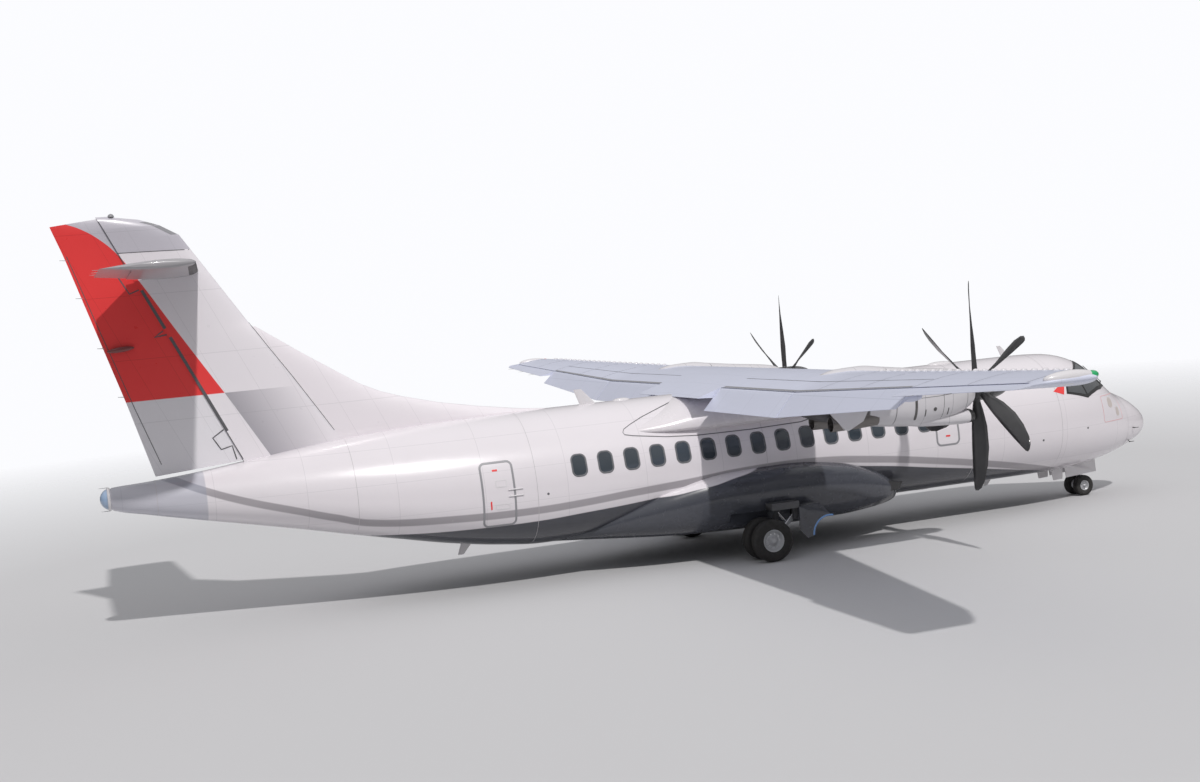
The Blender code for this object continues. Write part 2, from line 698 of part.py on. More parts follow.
def fin_split_x(z):
    """Where the dorsal fin gives way to the fin, along the fin's own leading edge."""
    return table_at(FIN_LEADING, z) if z >= 5.44 else -8.10 + 0.63 * (5.44 - z)


def rudder_half(z):
    return fin_half(hinge_x(z), z)


def fin_ring(z, front, cove):
    """Section of the fin between a front line and the rudder's cove, or the dorsal fin."""
    rear = hinge_x(z) if cove else fin_split_x(z) + SEAT
    xs = [front + (rear - front) * s for s in spaced(7)]
    left = [Vector((x, fin_half(x, z), z)) for x in xs]
    right = [Vector((x, -fin_half(x, z), z)) for x in reversed(xs)]
    ring = left
    if cove:
        radius = rudder_half(z) - LIP
        for k in range(9):
            angle = math.radians(90 - 22.5 * k)
            ring.append(Vector((rear + radius * math.cos(angle), radius * math.sin(angle), z)))
    return ring + right


def build_fin(rear_hull, fuselage_cutter, tail_cutter):
    """Dorsal fin, fin, the cap above the tailplane, the beacon and the rudder."""
    levels = [row[0] for row in FIN_LEADING]
    dorsal = [z for z in levels if z <= 5.30] + [5.36]
    rings = [fin_ring(z, table_at(FIN_LEADING, z), False) for z in dorsal]
    item = add_part("dorsal_fin", loft_mesh("dorsal_fin", rings), "white_paint")
    boolean(item, fuselage_cutter)

    low = [2.60, 3.40, 4.40, 5.36, 5.44, 6.00, FIN_SPLIT_Z - SEAT]
    rings = [fin_ring(z, fin_split_x(z), True) for z in low]
    item = add_part("fin", loft_mesh("fin", rings), "white_paint")
    boolean(item, fuselage_cutter)
    boolean(item, tail_cutter)

    high = [FIN_SPLIT_Z, 6.80, *[z for z in levels if z > 7.0]]
    rings = [fin_ring(z, fin_split_x(z), True) for z in high]
    item = add_part("fin_cap", loft_mesh("fin_cap", rings), "white_paint")
    boolean(item, tail_cutter)

    rings = []
    for base, slope in ((2.93, 0.075), (4.20, 0.0), (5.60, 0.0), (6.90, 0.0), (7.42, -0.055)):
        radius = rudder_half(base) - LIP - RUDDER_GAP
        hinge = hinge_x(base)
        ring = []
        for k in range(9):
            angle = math.radians(100 - 25 * k)
            ring.append((hinge + radius * math.cos(angle), radius * math.sin(angle)))
        rear = trailing_x(base)
        ring += [(rear, -0.004), (rear, 0.004)]
        rings.append([Vector((x, y, base + slope * (x - hinge))) for x, y in ring])
    origin = Vector((hinge_x(2.93), 0, 2.93))
    down = Vector((hinge_x(2.0), 0, 2.0)) - origin
    pieces = [loft_mesh("rudder", rings), pin_mesh(origin, down, RUDDER_PIN["reach"], RUDDER_PIN["radius"])]
    add_part("rudder", union_mesh("rudder", pieces), "red_paint", origin)
    bore = pin_mesh(origin, down, RUDDER_PIN["reach"] + SEAT, RUDDER_PIN["bore"])
    boolean(rear_hull, add_cutter("rudder_bore", bore))

    beacon_x = -10.31
    beacon = loft_mesh("beacon", [
        [Vector((beacon_x + r * math.cos(a), r * math.sin(a), z))
         for a in (2 * math.pi * k / 12 for k in range(12))]
        for r, z in ((0.045, FIN_TOP_Z + SEAT), (0.045, 7.55), (0.030, 7.576), (0.010, OVERALL_HEIGHT))])
    add_part("beacon", beacon, "lamp_red")


def tail_at(y):
    t = abs(y) / TAILPLANE_TIP_Y
    return {key: TAIL_ROOT[key] + (TAIL_TIP[key] - TAIL_ROOT[key]) * t for key in TAIL_ROOT}


def tail_half(x, y):
    tail = tail_at(y)
    chord = tail["le"] - tail["te"]
    return half_thickness((tail["le"] - x) / chord, TAIL_THICK) * chord


def tail_ring(y, cove, grow=0.0, scale=1.0):
    tail = tail_at(y)
    rear = ELEVATOR_HINGE_X if cove else tail["te"]
    xs = [tail["le"] + (rear - tail["le"]) * s for s in spaced(9)]
    ring = [Vector((x, y, TAIL_Z + tail_half(x, y))) for x in reversed(xs)]
    ring += [Vector((x, y, TAIL_Z - tail_half(x, y))) for x in xs[1:]]
    if cove:
        radius = tail_half(rear, y) - LIP
        for k in range(7):
            angle = math.radians(-90 + 30 * k)
            ring.append(Vector((rear + radius * math.cos(angle), y, TAIL_Z + radius * math.sin(angle))))
    else:
        ring[0].z += 0.003
        ring[-1].z -= 0.003
    if grow:
        ring = grown(ring, grow)
    middle = Vector((tail["le"] - 0.7, y, TAIL_Z))
    return [Vector((middle.x + (p.x - middle.x) * (0.4 + 0.6 * scale), y,
                    middle.z + (p.z - middle.z) * scale)) for p in ring]


def build_tailplane():
    """The fixed tailplane, notched for the rudder, and two elevators."""
    join = ELEVATOR_END_Y + END_GAP
    middle = [tail_ring(y, True) for y in (-join - 0.02, 0.0, join + 0.02)]
    pieces = [loft_mesh("tailplane", middle)]
    for side in (1, -1):
        tip = [tail_ring(side * y, False, scale=s)
               for y, s in ((join, 1.0), (join + 0.05, 0.96), (join + 0.11, 0.8),
                            (TAILPLANE_TIP_Y, 0.35))]
        pieces.append(loft_mesh("tailplane_tip", tip))
    item = add_part("tailplane", union_mesh("tailplane", pieces), "wing_paint")
    notch = box_mesh("rudder_notch", (-10.60, -0.24, 6.0), (-9.90, 0.24, 7.0))
    boolean(item, add_cutter("rudder_notch", notch))

    for side, word in ((1, "left"), (-1, "right")):
        rings = []
        for y, flare in ((ELEVATOR_ROOT_Y, ELEVATOR_ROOT_FLARE), (ELEVATOR_END_Y, 0.0)):
            hinge = Vector((ELEVATOR_HINGE_X, y, TAIL_Z))
            tail = ELEVATOR_HINGE_X - tail_at(y)["te"]
            ring = control_ring(hinge, tail_half(ELEVATOR_HINGE_X, y), tail, 0.0)
            ring = [Vector((p.x, p.y + flare * max(0.0, hinge.x - p.x), p.z)) for p in ring]
            rings.append(mirrored(ring, side))
        origin = Vector((ELEVATOR_HINGE_X, side * ELEVATOR_ROOT_Y, TAIL_Z))
        end = Vector((ELEVATOR_HINGE_X, side * ELEVATOR_END_Y, TAIL_Z))
        pin = pin_mesh(end, end - origin, END_GAP - PIN_GAP)
        mesh = union_mesh("elevator", [loft_mesh("elevator", rings), pin])
        add_part("elevator_" + word, mesh, "wing_paint", origin)


def blade_mesh(name, turn):
    """One swept propeller blade, standing along +Z before it is turned about the shaft."""
    stations = (         # radius, chord, thickness, blade angle, sweep
        (0.150, 0.130, 0.110, 66, 0.000), (0.300, 0.140, 0.100, 64, 0.000),
        (0.450, 0.200, 0.062, 58, 0.006), (0.750, 0.285, 0.036, 49, 0.016),
        (1.150, 0.325, 0.025, 39, 0.008), (1.500, 0.300, 0.018, 32, -0.024),
        (1.780, 0.230, 0.013, 28, -0.070), (1.915, 0.150, 0.009, 26, -0.110),
        (PROP_RADIUS, 0.060, 0.005, 25, -0.140),
    )
    outline = ((0.50, 0.0), (0.30, 0.40), (0.0, 0.50), (-0.30, 0.30),
               (-0.50, 0.0), (-0.30, -0.30), (0.0, -0.50), (0.30, -0.40))
    rings = []
    for radius, chord, thick, angle, sweep in stations:
        pitch = math.radians(angle)
        ring = []
        for u, w in outline:
            along, off = u * chord + sweep, w * thick
            x = along * math.sin(pitch) + off * math.cos(pitch)
            y = along * math.cos(pitch) - off * math.sin(pitch)
            point = Vector((x, y, radius))
            point.rotate(Quaternion((1, 0, 0), turn))
            ring.append(point)
        rings.append(ring)
    return loft_mesh(name, rings)


def build_engines(wing_space):
    """Nacelle cowl and tail, engine block, propeller and spinner on each side."""
    for side, word in ((1, "left"), (-1, "right")):
        y = NACELLE_Y * side
        front = NACELLE_STATIONS[0][0]
        rings = body_rings(NACELLE_STATIONS, COWL_END_X, front, NACELLE_SIDES, 0.0, y)
        cowl = add_part("nacelle_cowl_" + word, loft_mesh("nacelle_cowl", rings), "white_paint")
        space = body_rings(NACELLE_STATIONS, COWL_END_X - 0.1, front - 0.08, NACELLE_SIDES,
                           -COWL_SKIN, y)
        boolean(cowl, add_cutter("cowl_space", loft_mesh("cowl_space", space)))
        shaft_hole = rod_mesh("shaft_hole", (front - 0.3, y, PROP_Z), (front + 0.1, y, PROP_Z), 0.11)
        boolean(cowl, add_cutter("shaft_hole", shaft_hole))
        intake = box_mesh("intake", (front - 0.3, y - 0.15, 2.49), (front + 0.1, y + 0.15, 2.70))
        boolean(cowl, add_cutter("intake", intake))

        rings = body_rings(NACELLE_STATIONS, NACELLE_STATIONS[-1][0], COWL_END_X - SEAT,
                           NACELLE_SIDES, 0.0, y)
        aft = add_part("nacelle_aft_" + word, loft_mesh("nacelle_aft", rings), "white_paint")
        boolean(aft, wing_space)

        block = box_mesh("engine", (ENGINE["x0"], y - ENGINE["half_y"], ENGINE["z0"]),
                         (ENGINE["x1"], y + ENGINE["half_y"], ENGINE["z1"]))
        add_part("engine_" + word, block, "engine_metal")

        centre = Vector((PROP_X, y, PROP_Z))
        rear, nose = PROP_X - HUB_HALF, PROP_X + HUB_HALF
        pieces = [rod_mesh("hub", (rear, 0, 0), (nose, 0, 0), HUB_RADIUS, segments=36),
                  rod_mesh("shaft", (ENGINE["x1"] + SEAT, 0, 0), (rear + 0.05, 0, 0), 0.07)]
        pieces = [union_mesh("hub", pieces)]
        for vertex in pieces[0].vertices:
            vertex.co.x -= PROP_X
        for k in range(BLADE_COUNT):
            pieces.append(blade_mesh("blade", 2 * math.pi * k / BLADE_COUNT))
        mesh = union_mesh("propeller", pieces)
        for vertex in mesh.vertices:
            vertex.co += centre
        add_part("propeller_" + word, mesh, "black_composite", centre)
        spinner(word, centre, nose + SEAT)


def spinner(word, centre, base):
    """A turned dome ahead of the blades, about the shaft."""
    length = 0.52
    profile = [(HUB_RADIUS * math.cos(math.pi / 2 * k / 8) ** 0.8, length * math.sin(math.pi / 2 * k / 8))
               for k in range(9)]
    points = [(r, 0.0, h) for r, h in reversed(profile)]
    points[0] = (0.0, 0.0, length)
    points.append((0.0, 0.0, 0.0))
    mesh = bpy.data.meshes.new("spinner")
    mesh.from_pydata(points, [(k, k + 1) for k in range(len(points) - 1)], [])
    mesh.materials.append(MATERIALS["black_composite"])
    item = bpy.data.objects.new("spinner_" + word, mesh)
    parts.objects.link(item)
    item.location = (base, centre.y, centre.z)
    item.rotation_euler = (0, math.pi / 2, 0)
    add_screw(item, 32)


def add_screw(item, steps):
    screw = item.modifiers.new("turn", "SCREW")
    screw.steps = steps
    screw.render_steps = steps
    screw.use_merge_vertices = True
    screw.merge_threshold = 1e-5


def turned_y(name, centre, profile, material, steps, closed):
    """Turn a profile of (radius, offset) about an axle that runs along Y, a flat side down."""
    mesh = bpy.data.meshes.new(name)
    points = [(r, 0.0, h) for r, h in profile]
    edges = [(k, k + 1) for k in range(len(points) - 1)]
    if closed:
        edges.append((len(points) - 1, 0))
    mesh.from_pydata(points, edges, [])
    mesh.materials.append(MATERIALS[material])
    item = bpy.data.objects.new(name, mesh)
    parts.objects.link(item)
    item.location = centre
    item.rotation_euler = (-math.pi / 2, math.pi / steps, 0)
    add_screw(item, steps)
    return item


def tyre_profile(tyre, offset, steps):
    """Section of a tyre whose flat sides lie at its radius."""
    half, rim = tyre["width"] / 2, tyre["rim"] + SEAT
    radius = tyre["radius"] / math.cos(math.pi / steps)
    shoulder = 0.30 * (radius - rim)
    return [(radius, offset + 0.45 * half), (radius, offset - 0.45 * half),
            (radius - 0.35 * shoulder, offset - 0.80 * half),
            (radius - 1.2 * shoulder, offset - half), (rim + 0.5 * shoulder, offset - 0.93 * half),
            (rim, offset - 0.75 * half), (rim, offset + 0.75 * half),
            (rim + 0.5 * shoulder, offset + 0.93 * half), (radius - 1.2 * shoulder, offset + half),
            (radius - 0.35 * shoulder, offset + 0.80 * half)]


def wheels_profile(tyre, axle_radius):
    """Two rims fused to the axle that turns with them, from top to bottom."""
    rim, half, offset = tyre["rim"], 0.75 * tyre["width"] / 2, tyre["offset"]
    face, dish = offset + half, 0.6 * half
    half_profile = [(0.0, face + 0.01), (0.28 * rim, face + 0.01), (0.30 * rim, face - dish),
                    (0.86 * rim, face - dish), (0.88 * rim, face), (rim, face), (rim, offset - half),
                    (0.5 * rim, offset - half), (axle_radius, offset - half)]
    return half_profile + [(r, -h) for r, h in reversed(half_profile)]


def build_wheels():
    """Twin wheels on each main leg and on the nose leg."""
    sets = (
        ("main_left", MAIN_AXLE, MAIN_TYRE, 0.045, 32),
        ("main_right", Vector((MAIN_AXLE.x, -MAIN_AXLE.y, MAIN_AXLE.z)), MAIN_TYRE, 0.045, 32),
        ("nose", NOSE_AXLE, NOSE_TYRE, 0.030, 28),
    )
    for word, centre, tyre, axle, steps in sets:
        turned_y("wheels_" + word, centre, wheels_profile(tyre, axle), "wheel_grey", steps, False)
        for place, offset in (("port", tyre["offset"]), ("starboard", -tyre["offset"])):
            name = "tyre_" + word + "_" + place
            turned_y(name, centre, tyre_profile(tyre, offset, steps), "tyre_rubber", steps, True)


def build_main_gear(belly_cutter):
    """Beam and shock strut, trailing arm with the axle's eye, and the leg door."""
    axle = MAIN_AXLE
    beam_z = 1.00
    pivot = Vector((axle.x + 0.60, axle.y, 0.78))
    lug_x = pivot.x - 0.055
    strut_top = Vector((axle.x + 0.26, axle.y, beam_z - 0.05))
    strut_foot = Vector((axle.x + 0.12, axle.y, 0.56))
    middle = strut_top.lerp(strut_foot, 0.55)
    down = (strut_foot - strut_top).normalized()
    for side, word in ((1, "left"), (-1, "right")):
        pieces = [
            box_mesh("beam", (axle.x + 0.12, 1.55, beam_z - 0.06), (axle.x + 0.70, axle.y + 0.07,
                                                                   beam_z + 0.07)),
            box_mesh("lug", (lug_x, axle.y - 0.06, pivot.z - 0.06),
                     (lug_x + 0.11, axle.y + 0.06, beam_z)),
            rod_mesh("strut", strut_top - down * 0.05, middle, 0.055),
        ]
        mesh = union_mesh("main_gear_leg", pieces)
        flip_side(mesh, side)
        leg = add_part("main_gear_leg_" + word, mesh, "gear_grey")
        boolean(leg, belly_cutter)

        eye = rod_mesh("eye", (axle.x, axle.y - 0.065, axle.z), (axle.x, axle.y + 0.065, axle.z),
                       0.085, segments=32)
        arm = rod_mesh("arm", (pivot.x, axle.y, pivot.z), (axle.x + 0.03, axle.y, axle.z + 0.02),
                       0.050, 0.060)
        piston = rod_mesh("piston", middle + down * SEAT, strut_foot + down * 0.02, 0.032)
        mesh = union_mesh("main_gear_arm", [eye, arm, piston])
        flip_side(mesh, side)
        item = add_part("main_gear_arm_" + word, mesh, "gear_grey")
        seat = box_mesh("lug_space", (lug_x - SEAT, side * axle.y - 0.1, 0.6),
                        (lug_x + 0.2, side * axle.y + 0.1, 0.9))
        boolean(item, add_cutter("lug_space", seat))
        bore = rod_mesh("axle_bore", (axle.x, side * (axle.y - 0.3), axle.z),
                        (axle.x, side * (axle.y + 0.3), axle.z), 0.0458, segments=32)
        boolean(item, add_cutter("axle_bore", bore))

        outline = [(1.68, 0.96), (2.10, 0.99), (2.36, 0.72)]
        outline += [(2.30 + 0.33 * math.cos(math.radians(a)), 0.37 + 0.33 * math.sin(math.radians(a)))
                    for a in range(75, 181, 15)]
        outline += [(1.82, 0.33), (1.66, 0.50)]
        plate("main_gear_door_" + word, outline, side * (axle.y + 0.07 + 0.012 + SEAT), 0.024,
              "belly_paint")


def flip_side(mesh, side):
    """Mirror a port-side mesh to starboard."""
    if side < 0:
        for vertex in mesh.vertices:
            vertex.co.y *= -1
        mesh.flip_normals()


def plate(name, outline, y, thickness, material):
    """A flat outline in an XZ plane, as a filled curve."""
    curve = bpy.data.curves.new(name, "CURVE")
    curve.dimensions = "2D"
    curve.fill_mode = "BOTH"
    curve.extrude = thickness / 2
    spline = curve.splines.new("POLY")
    spline.points.add(len(outline) - 1)
    for point, (x, z) in zip(spline.points, outline):
        point.co = (x, z, 0.0, 1.0)
    spline.use_cyclic_u = True
    curve.materials.append(MATERIALS[material])
    item = bpy.data.objects.new(name, curve)
    item.location = (0.0, y, 0.0)
    item.rotation_euler = (math.pi / 2, 0, 0)
    parts.objects.link(item)
    return item


def build_nose_gear(fuselage_cutter):
    """Fixed leg and brace, the steering piston with the axle's eye, and the doors."""
    axle = NOSE_AXLE
    collar_z = 0.50
    pieces = [rod_mesh("leg", (axle.x, 0, collar_z + SEAT), (axle.x, 0, 0.95), 0.065),
              rod_mesh("brace", (axle.x, 0, 0.60), (axle.x - 0.48, 0, 0.95), 0.030)]
    leg = add_part("nose_gear_leg", union_mesh("nose_gear_leg", pieces), "gear_grey")
    boolean(leg, fuselage_cutter)

    pieces = [rod_mesh("collar", (axle.x, 0, collar_z - 0.05), (axle.x, 0, collar_z), 0.060),
              rod_mesh("piston", (axle.x, 0, axle.z), (axle.x, 0, collar_z - 0.03), 0.035),
              rod_mesh("eye", (axle.x, -0.055, axle.z), (axle.x, 0.055, axle.z), 0.055, segments=28)]
    item = add_part("nose_steering", union_mesh("nose_steering", pieces), "gear_grey",
                    (axle.x, 0, axle.z))
    bore = rod_mesh("nose_bore", (axle.x, -0.3, axle.z), (axle.x, 0.3, axle.z), 0.0307, segments=28)
    boolean(item, add_cutter("nose_bore", bore))

    front = [(9.02, 0.80), (9.82, 0.86), (9.84, 0.52), (9.06, 0.47)]
    for side, word in ((1, "left"), (-1, "right")):
        door = plate("nose_gear_door_" + word, front, side * 0.30, 0.02, "white_paint")
        mesh = curve_to_mesh(door)
        boolean(mesh, fuselage_cutter)


def curve_to_mesh(item):
    """Turn a curve object into a closed mesh object that booleans can cut."""
    graph = bpy.context.evaluated_depsgraph_get()
    mesh = bpy.data.meshes.new_from_object(item.evaluated_get(graph))
    bm = bmesh.new()
    bm.from_mesh(mesh)
    bmesh.ops.remove_doubles(bm, verts=bm.verts, dist=1e-5)
    bm.to_mesh(mesh)
    bm.free()
    name, place = item.name, item.matrix_world.copy()
    bpy.data.objects.remove(item, do_unlink=True)
    solid = bpy.data.objects.new(name, mesh)
    solid.matrix_world = place
    parts.objects.link(solid)
    return solid


def build():
    hull = build_hull()
    build_doors(hull)
    build_tail_space(hull["fuselage_rear"])
    build_glazing(hull["fuselage_forward"])
    grown_hull = hull_rings(HULL_STATIONS[-1][0], HALF_LENGTH, SEAT)
    fuselage_cutter = add_cutter("fuselage_cutter", loft_mesh("fuselage_cutter", grown_hull))
    centre_cutter = wing_cutter("centre_cutter", 1.60, False)
    tail_rings = [tail_ring(y, True, SEAT) for y in (-1.0, 0.0, 1.0)]
    tail_cutter = add_cutter("tail_cutter", loft_mesh("tail_cutter", tail_rings))
    build_wing()
    build_fairings(hull, fuselage_cutter, centre_cutter)
    build_fin(hull["fuselage_rear"], fuselage_cutter, tail_cutter)
    build_tailplane()
    build_engines(wing_cutter("wing_cutter", 4.75, True))
    build_wheels()
    build_main_gear(add_cutter("belly_cutter", loft_mesh("belly_cutter", pod_rings(SEAT))))
    build_nose_gear(fuselage_cutter)


build()
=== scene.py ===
"""Looks of the turboprop airliner: livery, glazing, panel lines, lamps and small fittings.

Units are metres, in the frame of the solids: +X to the nose, +Y to port, the ground at z = 0.
"""

import math

import bmesh
import bpy
from mathutils import Matrix, Quaternion, Vector


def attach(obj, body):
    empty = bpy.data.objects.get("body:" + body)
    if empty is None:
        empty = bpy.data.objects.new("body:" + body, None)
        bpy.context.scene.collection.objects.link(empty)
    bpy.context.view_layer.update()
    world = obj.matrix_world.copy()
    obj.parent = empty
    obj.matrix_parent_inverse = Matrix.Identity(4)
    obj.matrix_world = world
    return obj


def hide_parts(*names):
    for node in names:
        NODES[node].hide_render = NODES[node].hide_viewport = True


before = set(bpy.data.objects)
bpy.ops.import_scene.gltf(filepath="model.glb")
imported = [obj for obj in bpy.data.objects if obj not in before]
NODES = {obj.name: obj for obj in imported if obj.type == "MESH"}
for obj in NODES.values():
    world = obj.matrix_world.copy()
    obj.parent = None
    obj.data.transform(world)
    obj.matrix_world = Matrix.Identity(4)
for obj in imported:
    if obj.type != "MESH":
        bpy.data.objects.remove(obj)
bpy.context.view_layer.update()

# Camera: its place and its directions, from the photograph's perspective
CAMERA_AT = Vector((-11.081, -28.716, 5.237))
CAMERA_FORWARD = Vector((0.31823, 0.94622, -0.05819))
CAMERA_RIGHT = Vector((0.94227, -0.32246, -0.09032))
CAMERA_LENS_MM = 45.82
SUN_TRAVEL = Vector((-0.05, 0.84, -1.0))     # the way the sunlight goes
SUN_STRENGTH = 1.85
SKY_LOW = 0.05           # strength of the surroundings' light from the horizon and below
SKY_HIGH = 0.66          # and from straight above
FLOOR_RADIUS = 60.0

# Fuselage sections, as in the solids: x, half width, top, waist, bottom
HULL_STATIONS = (
    (11.335, 0.030, 1.510, 1.480, 1.450),
    (11.310, 0.130, 1.600, 1.480, 1.360),
    (11.230, 0.250, 1.720, 1.480, 1.240),
    (11.050, 0.400, 1.880, 1.490, 1.120),
    (10.750, 0.580, 2.080, 1.520, 1.010),
    (10.320, 0.800, 2.290, 1.580, 0.880),
    (10.030, 0.930, 2.560, 1.630, 0.810),
    (9.740, 1.050, 2.810, 1.680, 0.760),
    (9.500, 1.135, 3.010, 1.720, 0.725),
    (9.200, 1.220, 3.140, 1.755, 0.695),
    (8.800, 1.315, 3.220, 1.790, 0.665),
    (8.300, 1.385, 3.247, 1.810, 0.652),
    (7.600, 1.4325, 3.2525, 1.820, 0.650),
    (-3.000, 1.4325, 3.2525, 1.820, 0.660),
    (-3.900, 1.420, 3.250, 1.830, 0.750),
    (-4.800, 1.370, 3.235, 1.870, 0.900),
    (-5.750, 1.270, 3.190, 1.940, 1.110),
    (-6.670, 1.120, 3.120, 2.050, 1.320),
    (-7.580, 0.930, 3.020, 2.170, 1.540),
    (-8.500, 0.710, 2.900, 2.290, 1.750),
    (-9.350, 0.510, 2.800, 2.380, 1.940),
    (-10.200, 0.330, 2.735, 2.450, 2.140),
    (-10.850, 0.200, 2.700, 2.510, 2.310),
    (-10.950, 0.110, 2.610, 2.510, 2.410),
)
BELLY_POWER = 2.3
RADOME_X = 10.45
FORWARD_X = 6.15
REAR_X = -3.30
TAIL_CONE_X = -10.05
HULL_STEP = 0.16         # between stations of the smooth skin
HULL_SIDES = 96

PASSENGER_DOOR = {"x0": -5.05, "x1": -4.30, "z0": 1.26, "z1": 3.00, "side": 1}
CARGO_DOOR = {"x0": 6.24, "x1": 7.515, "z0": 1.20, "z1": 2.73, "side": 1}
SERVICE_DOOR = {"x0": -4.34, "x1": -3.74, "z0": 1.26, "z1": 2.44, "side": -1}
DOOR_SKIN = 0.06
DOOR_GAP = 0.008
VESTIBULE = 0.50

# Cabin windows
WINDOW_X0 = -2.432
WINDOW_PITCH = 0.53
WINDOW_COUNT = 15
WINDOW_Z = 2.205
WINDOW_SIZE = (0.25, 0.365)

# Livery lines on the fuselage, x and z
BELLY_EDGE = ((-11.4, 1.20), (-8.2, 1.36), (-7.2, 1.33), (-6.2, 1.29), (-4.85, 1.249), (-3.32, 1.248),
              (-2.41, 1.29), (-1.38, 1.35), (-0.04, 1.49), (1.21, 1.60), (2.48, 1.569), (3.81, 1.438),
              (5.21, 1.23), (6.70, 1.007), (8.00, 0.79), (8.60, 0.66), (11.4, 0.20))
BAND_MIDDLE = ((-11.4, 3.30), (-9.9, 2.80), (-9.3, 2.53), (-8.5, 2.22), (-7.66, 1.96), (-7.0, 1.76),
               (-6.24, 1.57), (-4.87, 1.485), (-3.32, 1.46), (-2.41, 1.49), (-1.38, 1.555),
               (-0.33, 1.61), (1.0, 1.70), (2.49, 1.70), (3.81, 1.575), (5.17, 1.38), (6.61, 1.13),
               (7.87, 0.87), (8.6, 0.70), (11.4, 0.20))
BAND_HALF = 0.070
POD_EDGE = ((-3.2, 1.25), (-1.15, 1.38), (-0.64, 1.41), (-0.23, 1.467), (0.165, 1.523), (0.56, 1.608),
            (0.93, 1.668), (1.5, 1.80), (2.2, 2.00), (4.6, 2.20))
RED_FRONT = ((4.198, -8.665), (5.325, -9.347), (6.333, -9.939), (6.842, -10.264), (7.13, -10.54),
             (7.348, -10.856), (7.474, -11.145), (7.60, -11.40))
RED_LOW_Z = 4.20
GREY_SLOPE = -0.576      # of the grey sweep under the red, x against z
GREY_FOOT_X = -6.247
GREY_LENGTH = 1.3

# Wing, by its chord line, and its hinges, as in the solids
WING_TIP_Y = 12.285
CENTRE_Y = 1.62
KINK_Y = 4.83
WING_ROOT = {"le": 2.55, "chord": 2.57, "z": 3.33, "twist": math.radians(3.2), "thick": 0.18}
WING_TIP = {"le": 1.46, "chord": 1.41, "z": 3.69, "twist": math.radians(1.8), "thick": 0.13}
WING_CAMBER = 0.02
HINGE_SHARE = 0.80
LIP = 0.006
COVE_GAP = 0.008
FLAP_END_Y = 8.94
AILERON_END_Y = 12.0
END_GAP = 0.012
FLAP_REST = math.radians(30)
TIP_RAKE = 0.27          # how far the leading edge falls back at the tip
TIP_RAKE_Y = 11.3        # and where that starts
WING_STEP = 0.35

# Fin and rudder, as in the solids
FIN_LEADING = (          # z, x
    (2.60, -2.30), (3.26, -2.60), (3.31, -3.10), (3.44, -3.90), (3.60, -4.70), (3.80, -5.43),
    (3.93, -5.80), (4.11, -6.17), (4.33, -6.50), (4.80, -7.20), (5.44, -8.10), (6.40, -8.705),
    (7.13, -9.17), (7.33, -9.50), (7.45, -9.85), (7.52, -10.30),
)
FIN_SPLIT_Z = 6.45
FIN_TOP_Z = 7.52
FIN_HALF_THICKNESS = 0.155
RUDDER_GAP = 0.016
RUDDER_FOOT_Z = 2.93
RUDDER_TOP_Z = 7.505

# Tailplane and elevators, as in the solids
TAIL_Z = 6.45
TAILPLANE_TIP_Y = 3.655
TAIL_ROOT = {"le": -8.90, "te": -10.72}
TAIL_TIP = {"le": -9.20, "te": -10.66}
ELEVATOR_HINGE_X = -10.17
TAIL_THICK = 0.11
ELEVATOR_ROOT_Y = 0.29
ELEVATOR_ROOT_FLARE = 0.62
ELEVATOR_END_Y = 3.50
TAIL_NOTCH = {"x": -9.90, "half": 0.24}

# Nacelles: the cowl's round upper lobe and the scoop under its chin, as sections
NACELLE_Y = 4.05
PROP_Z = 3.04
COWL_END_X = 2.62
COWL_STATIONS = (        # x, half width, top, waist, bottom
    (4.385, 0.285, 3.325, 3.030, 2.735),
    (4.300, 0.335, 3.365, 3.030, 2.670),
    (4.100, 0.395, 3.410, 3.020, 2.585),
    (3.800, 0.435, 3.450, 3.000, 2.510),
    (3.200, 0.470, 3.520, 2.980, 2.455),
    (2.620, 0.480, 3.600, 2.980, 2.500),
    (2.200, 0.470, 3.655, 3.000, 2.560),
    (1.700, 0.430, 3.640, 3.050, 2.640),
    (1.200, 0.360, 3.500, 3.100, 2.770),
    (0.750, 0.240, 3.300, 3.120, 2.920),
)
SCOOP_STATIONS = (       # x, half width, top, waist, bottom
    (4.400, 0.205, 2.640, 2.512, 2.392),
    (4.200, 0.225, 2.665, 2.518, 2.378),
    (3.800, 0.250, 2.700, 2.530, 2.392),
    (3.300, 0.270, 2.760, 2.570, 2.425),
    (2.800, 0.230, 2.800, 2.620, 2.490),
)

# Saddle between wing and fuselage: x, half width, ridge, lower edge
SADDLE_STATIONS = (
    (-1.42, 1.04, 2.76, 2.66), (-1.10, 1.14, 2.88, 2.61), (-0.60, 1.25, 3.04, 2.545),
    (0.05, 1.34, 3.24, 2.50), (0.60, 1.37, 3.30, 2.49), (1.60, 1.37, 3.35, 2.49),
    (2.55, 1.33, 3.40, 2.54), (3.10, 1.10, 3.37, 2.73), (3.70, 0.50, 3.275, 3.10),
)
SADDLE_POWER = 2.2
SADDLE_SEAM = ((-1.40, 2.655), (-1.25, 2.62), (-0.60, 2.53), (0.03, 2.485), (1.20, 2.475), (2.30, 2.50),
               (2.80, 2.60), (3.20, 2.76), (3.60, 3.02))
SADDLE_LOOP = ((-1.40, 2.655), (-1.42, 2.70), (-1.38, 2.755), (-1.217, 2.83), (-0.932, 2.935),
               (-0.685, 3.005), (-0.427, 3.075), (-0.151, 3.145), (0.043, 3.19))

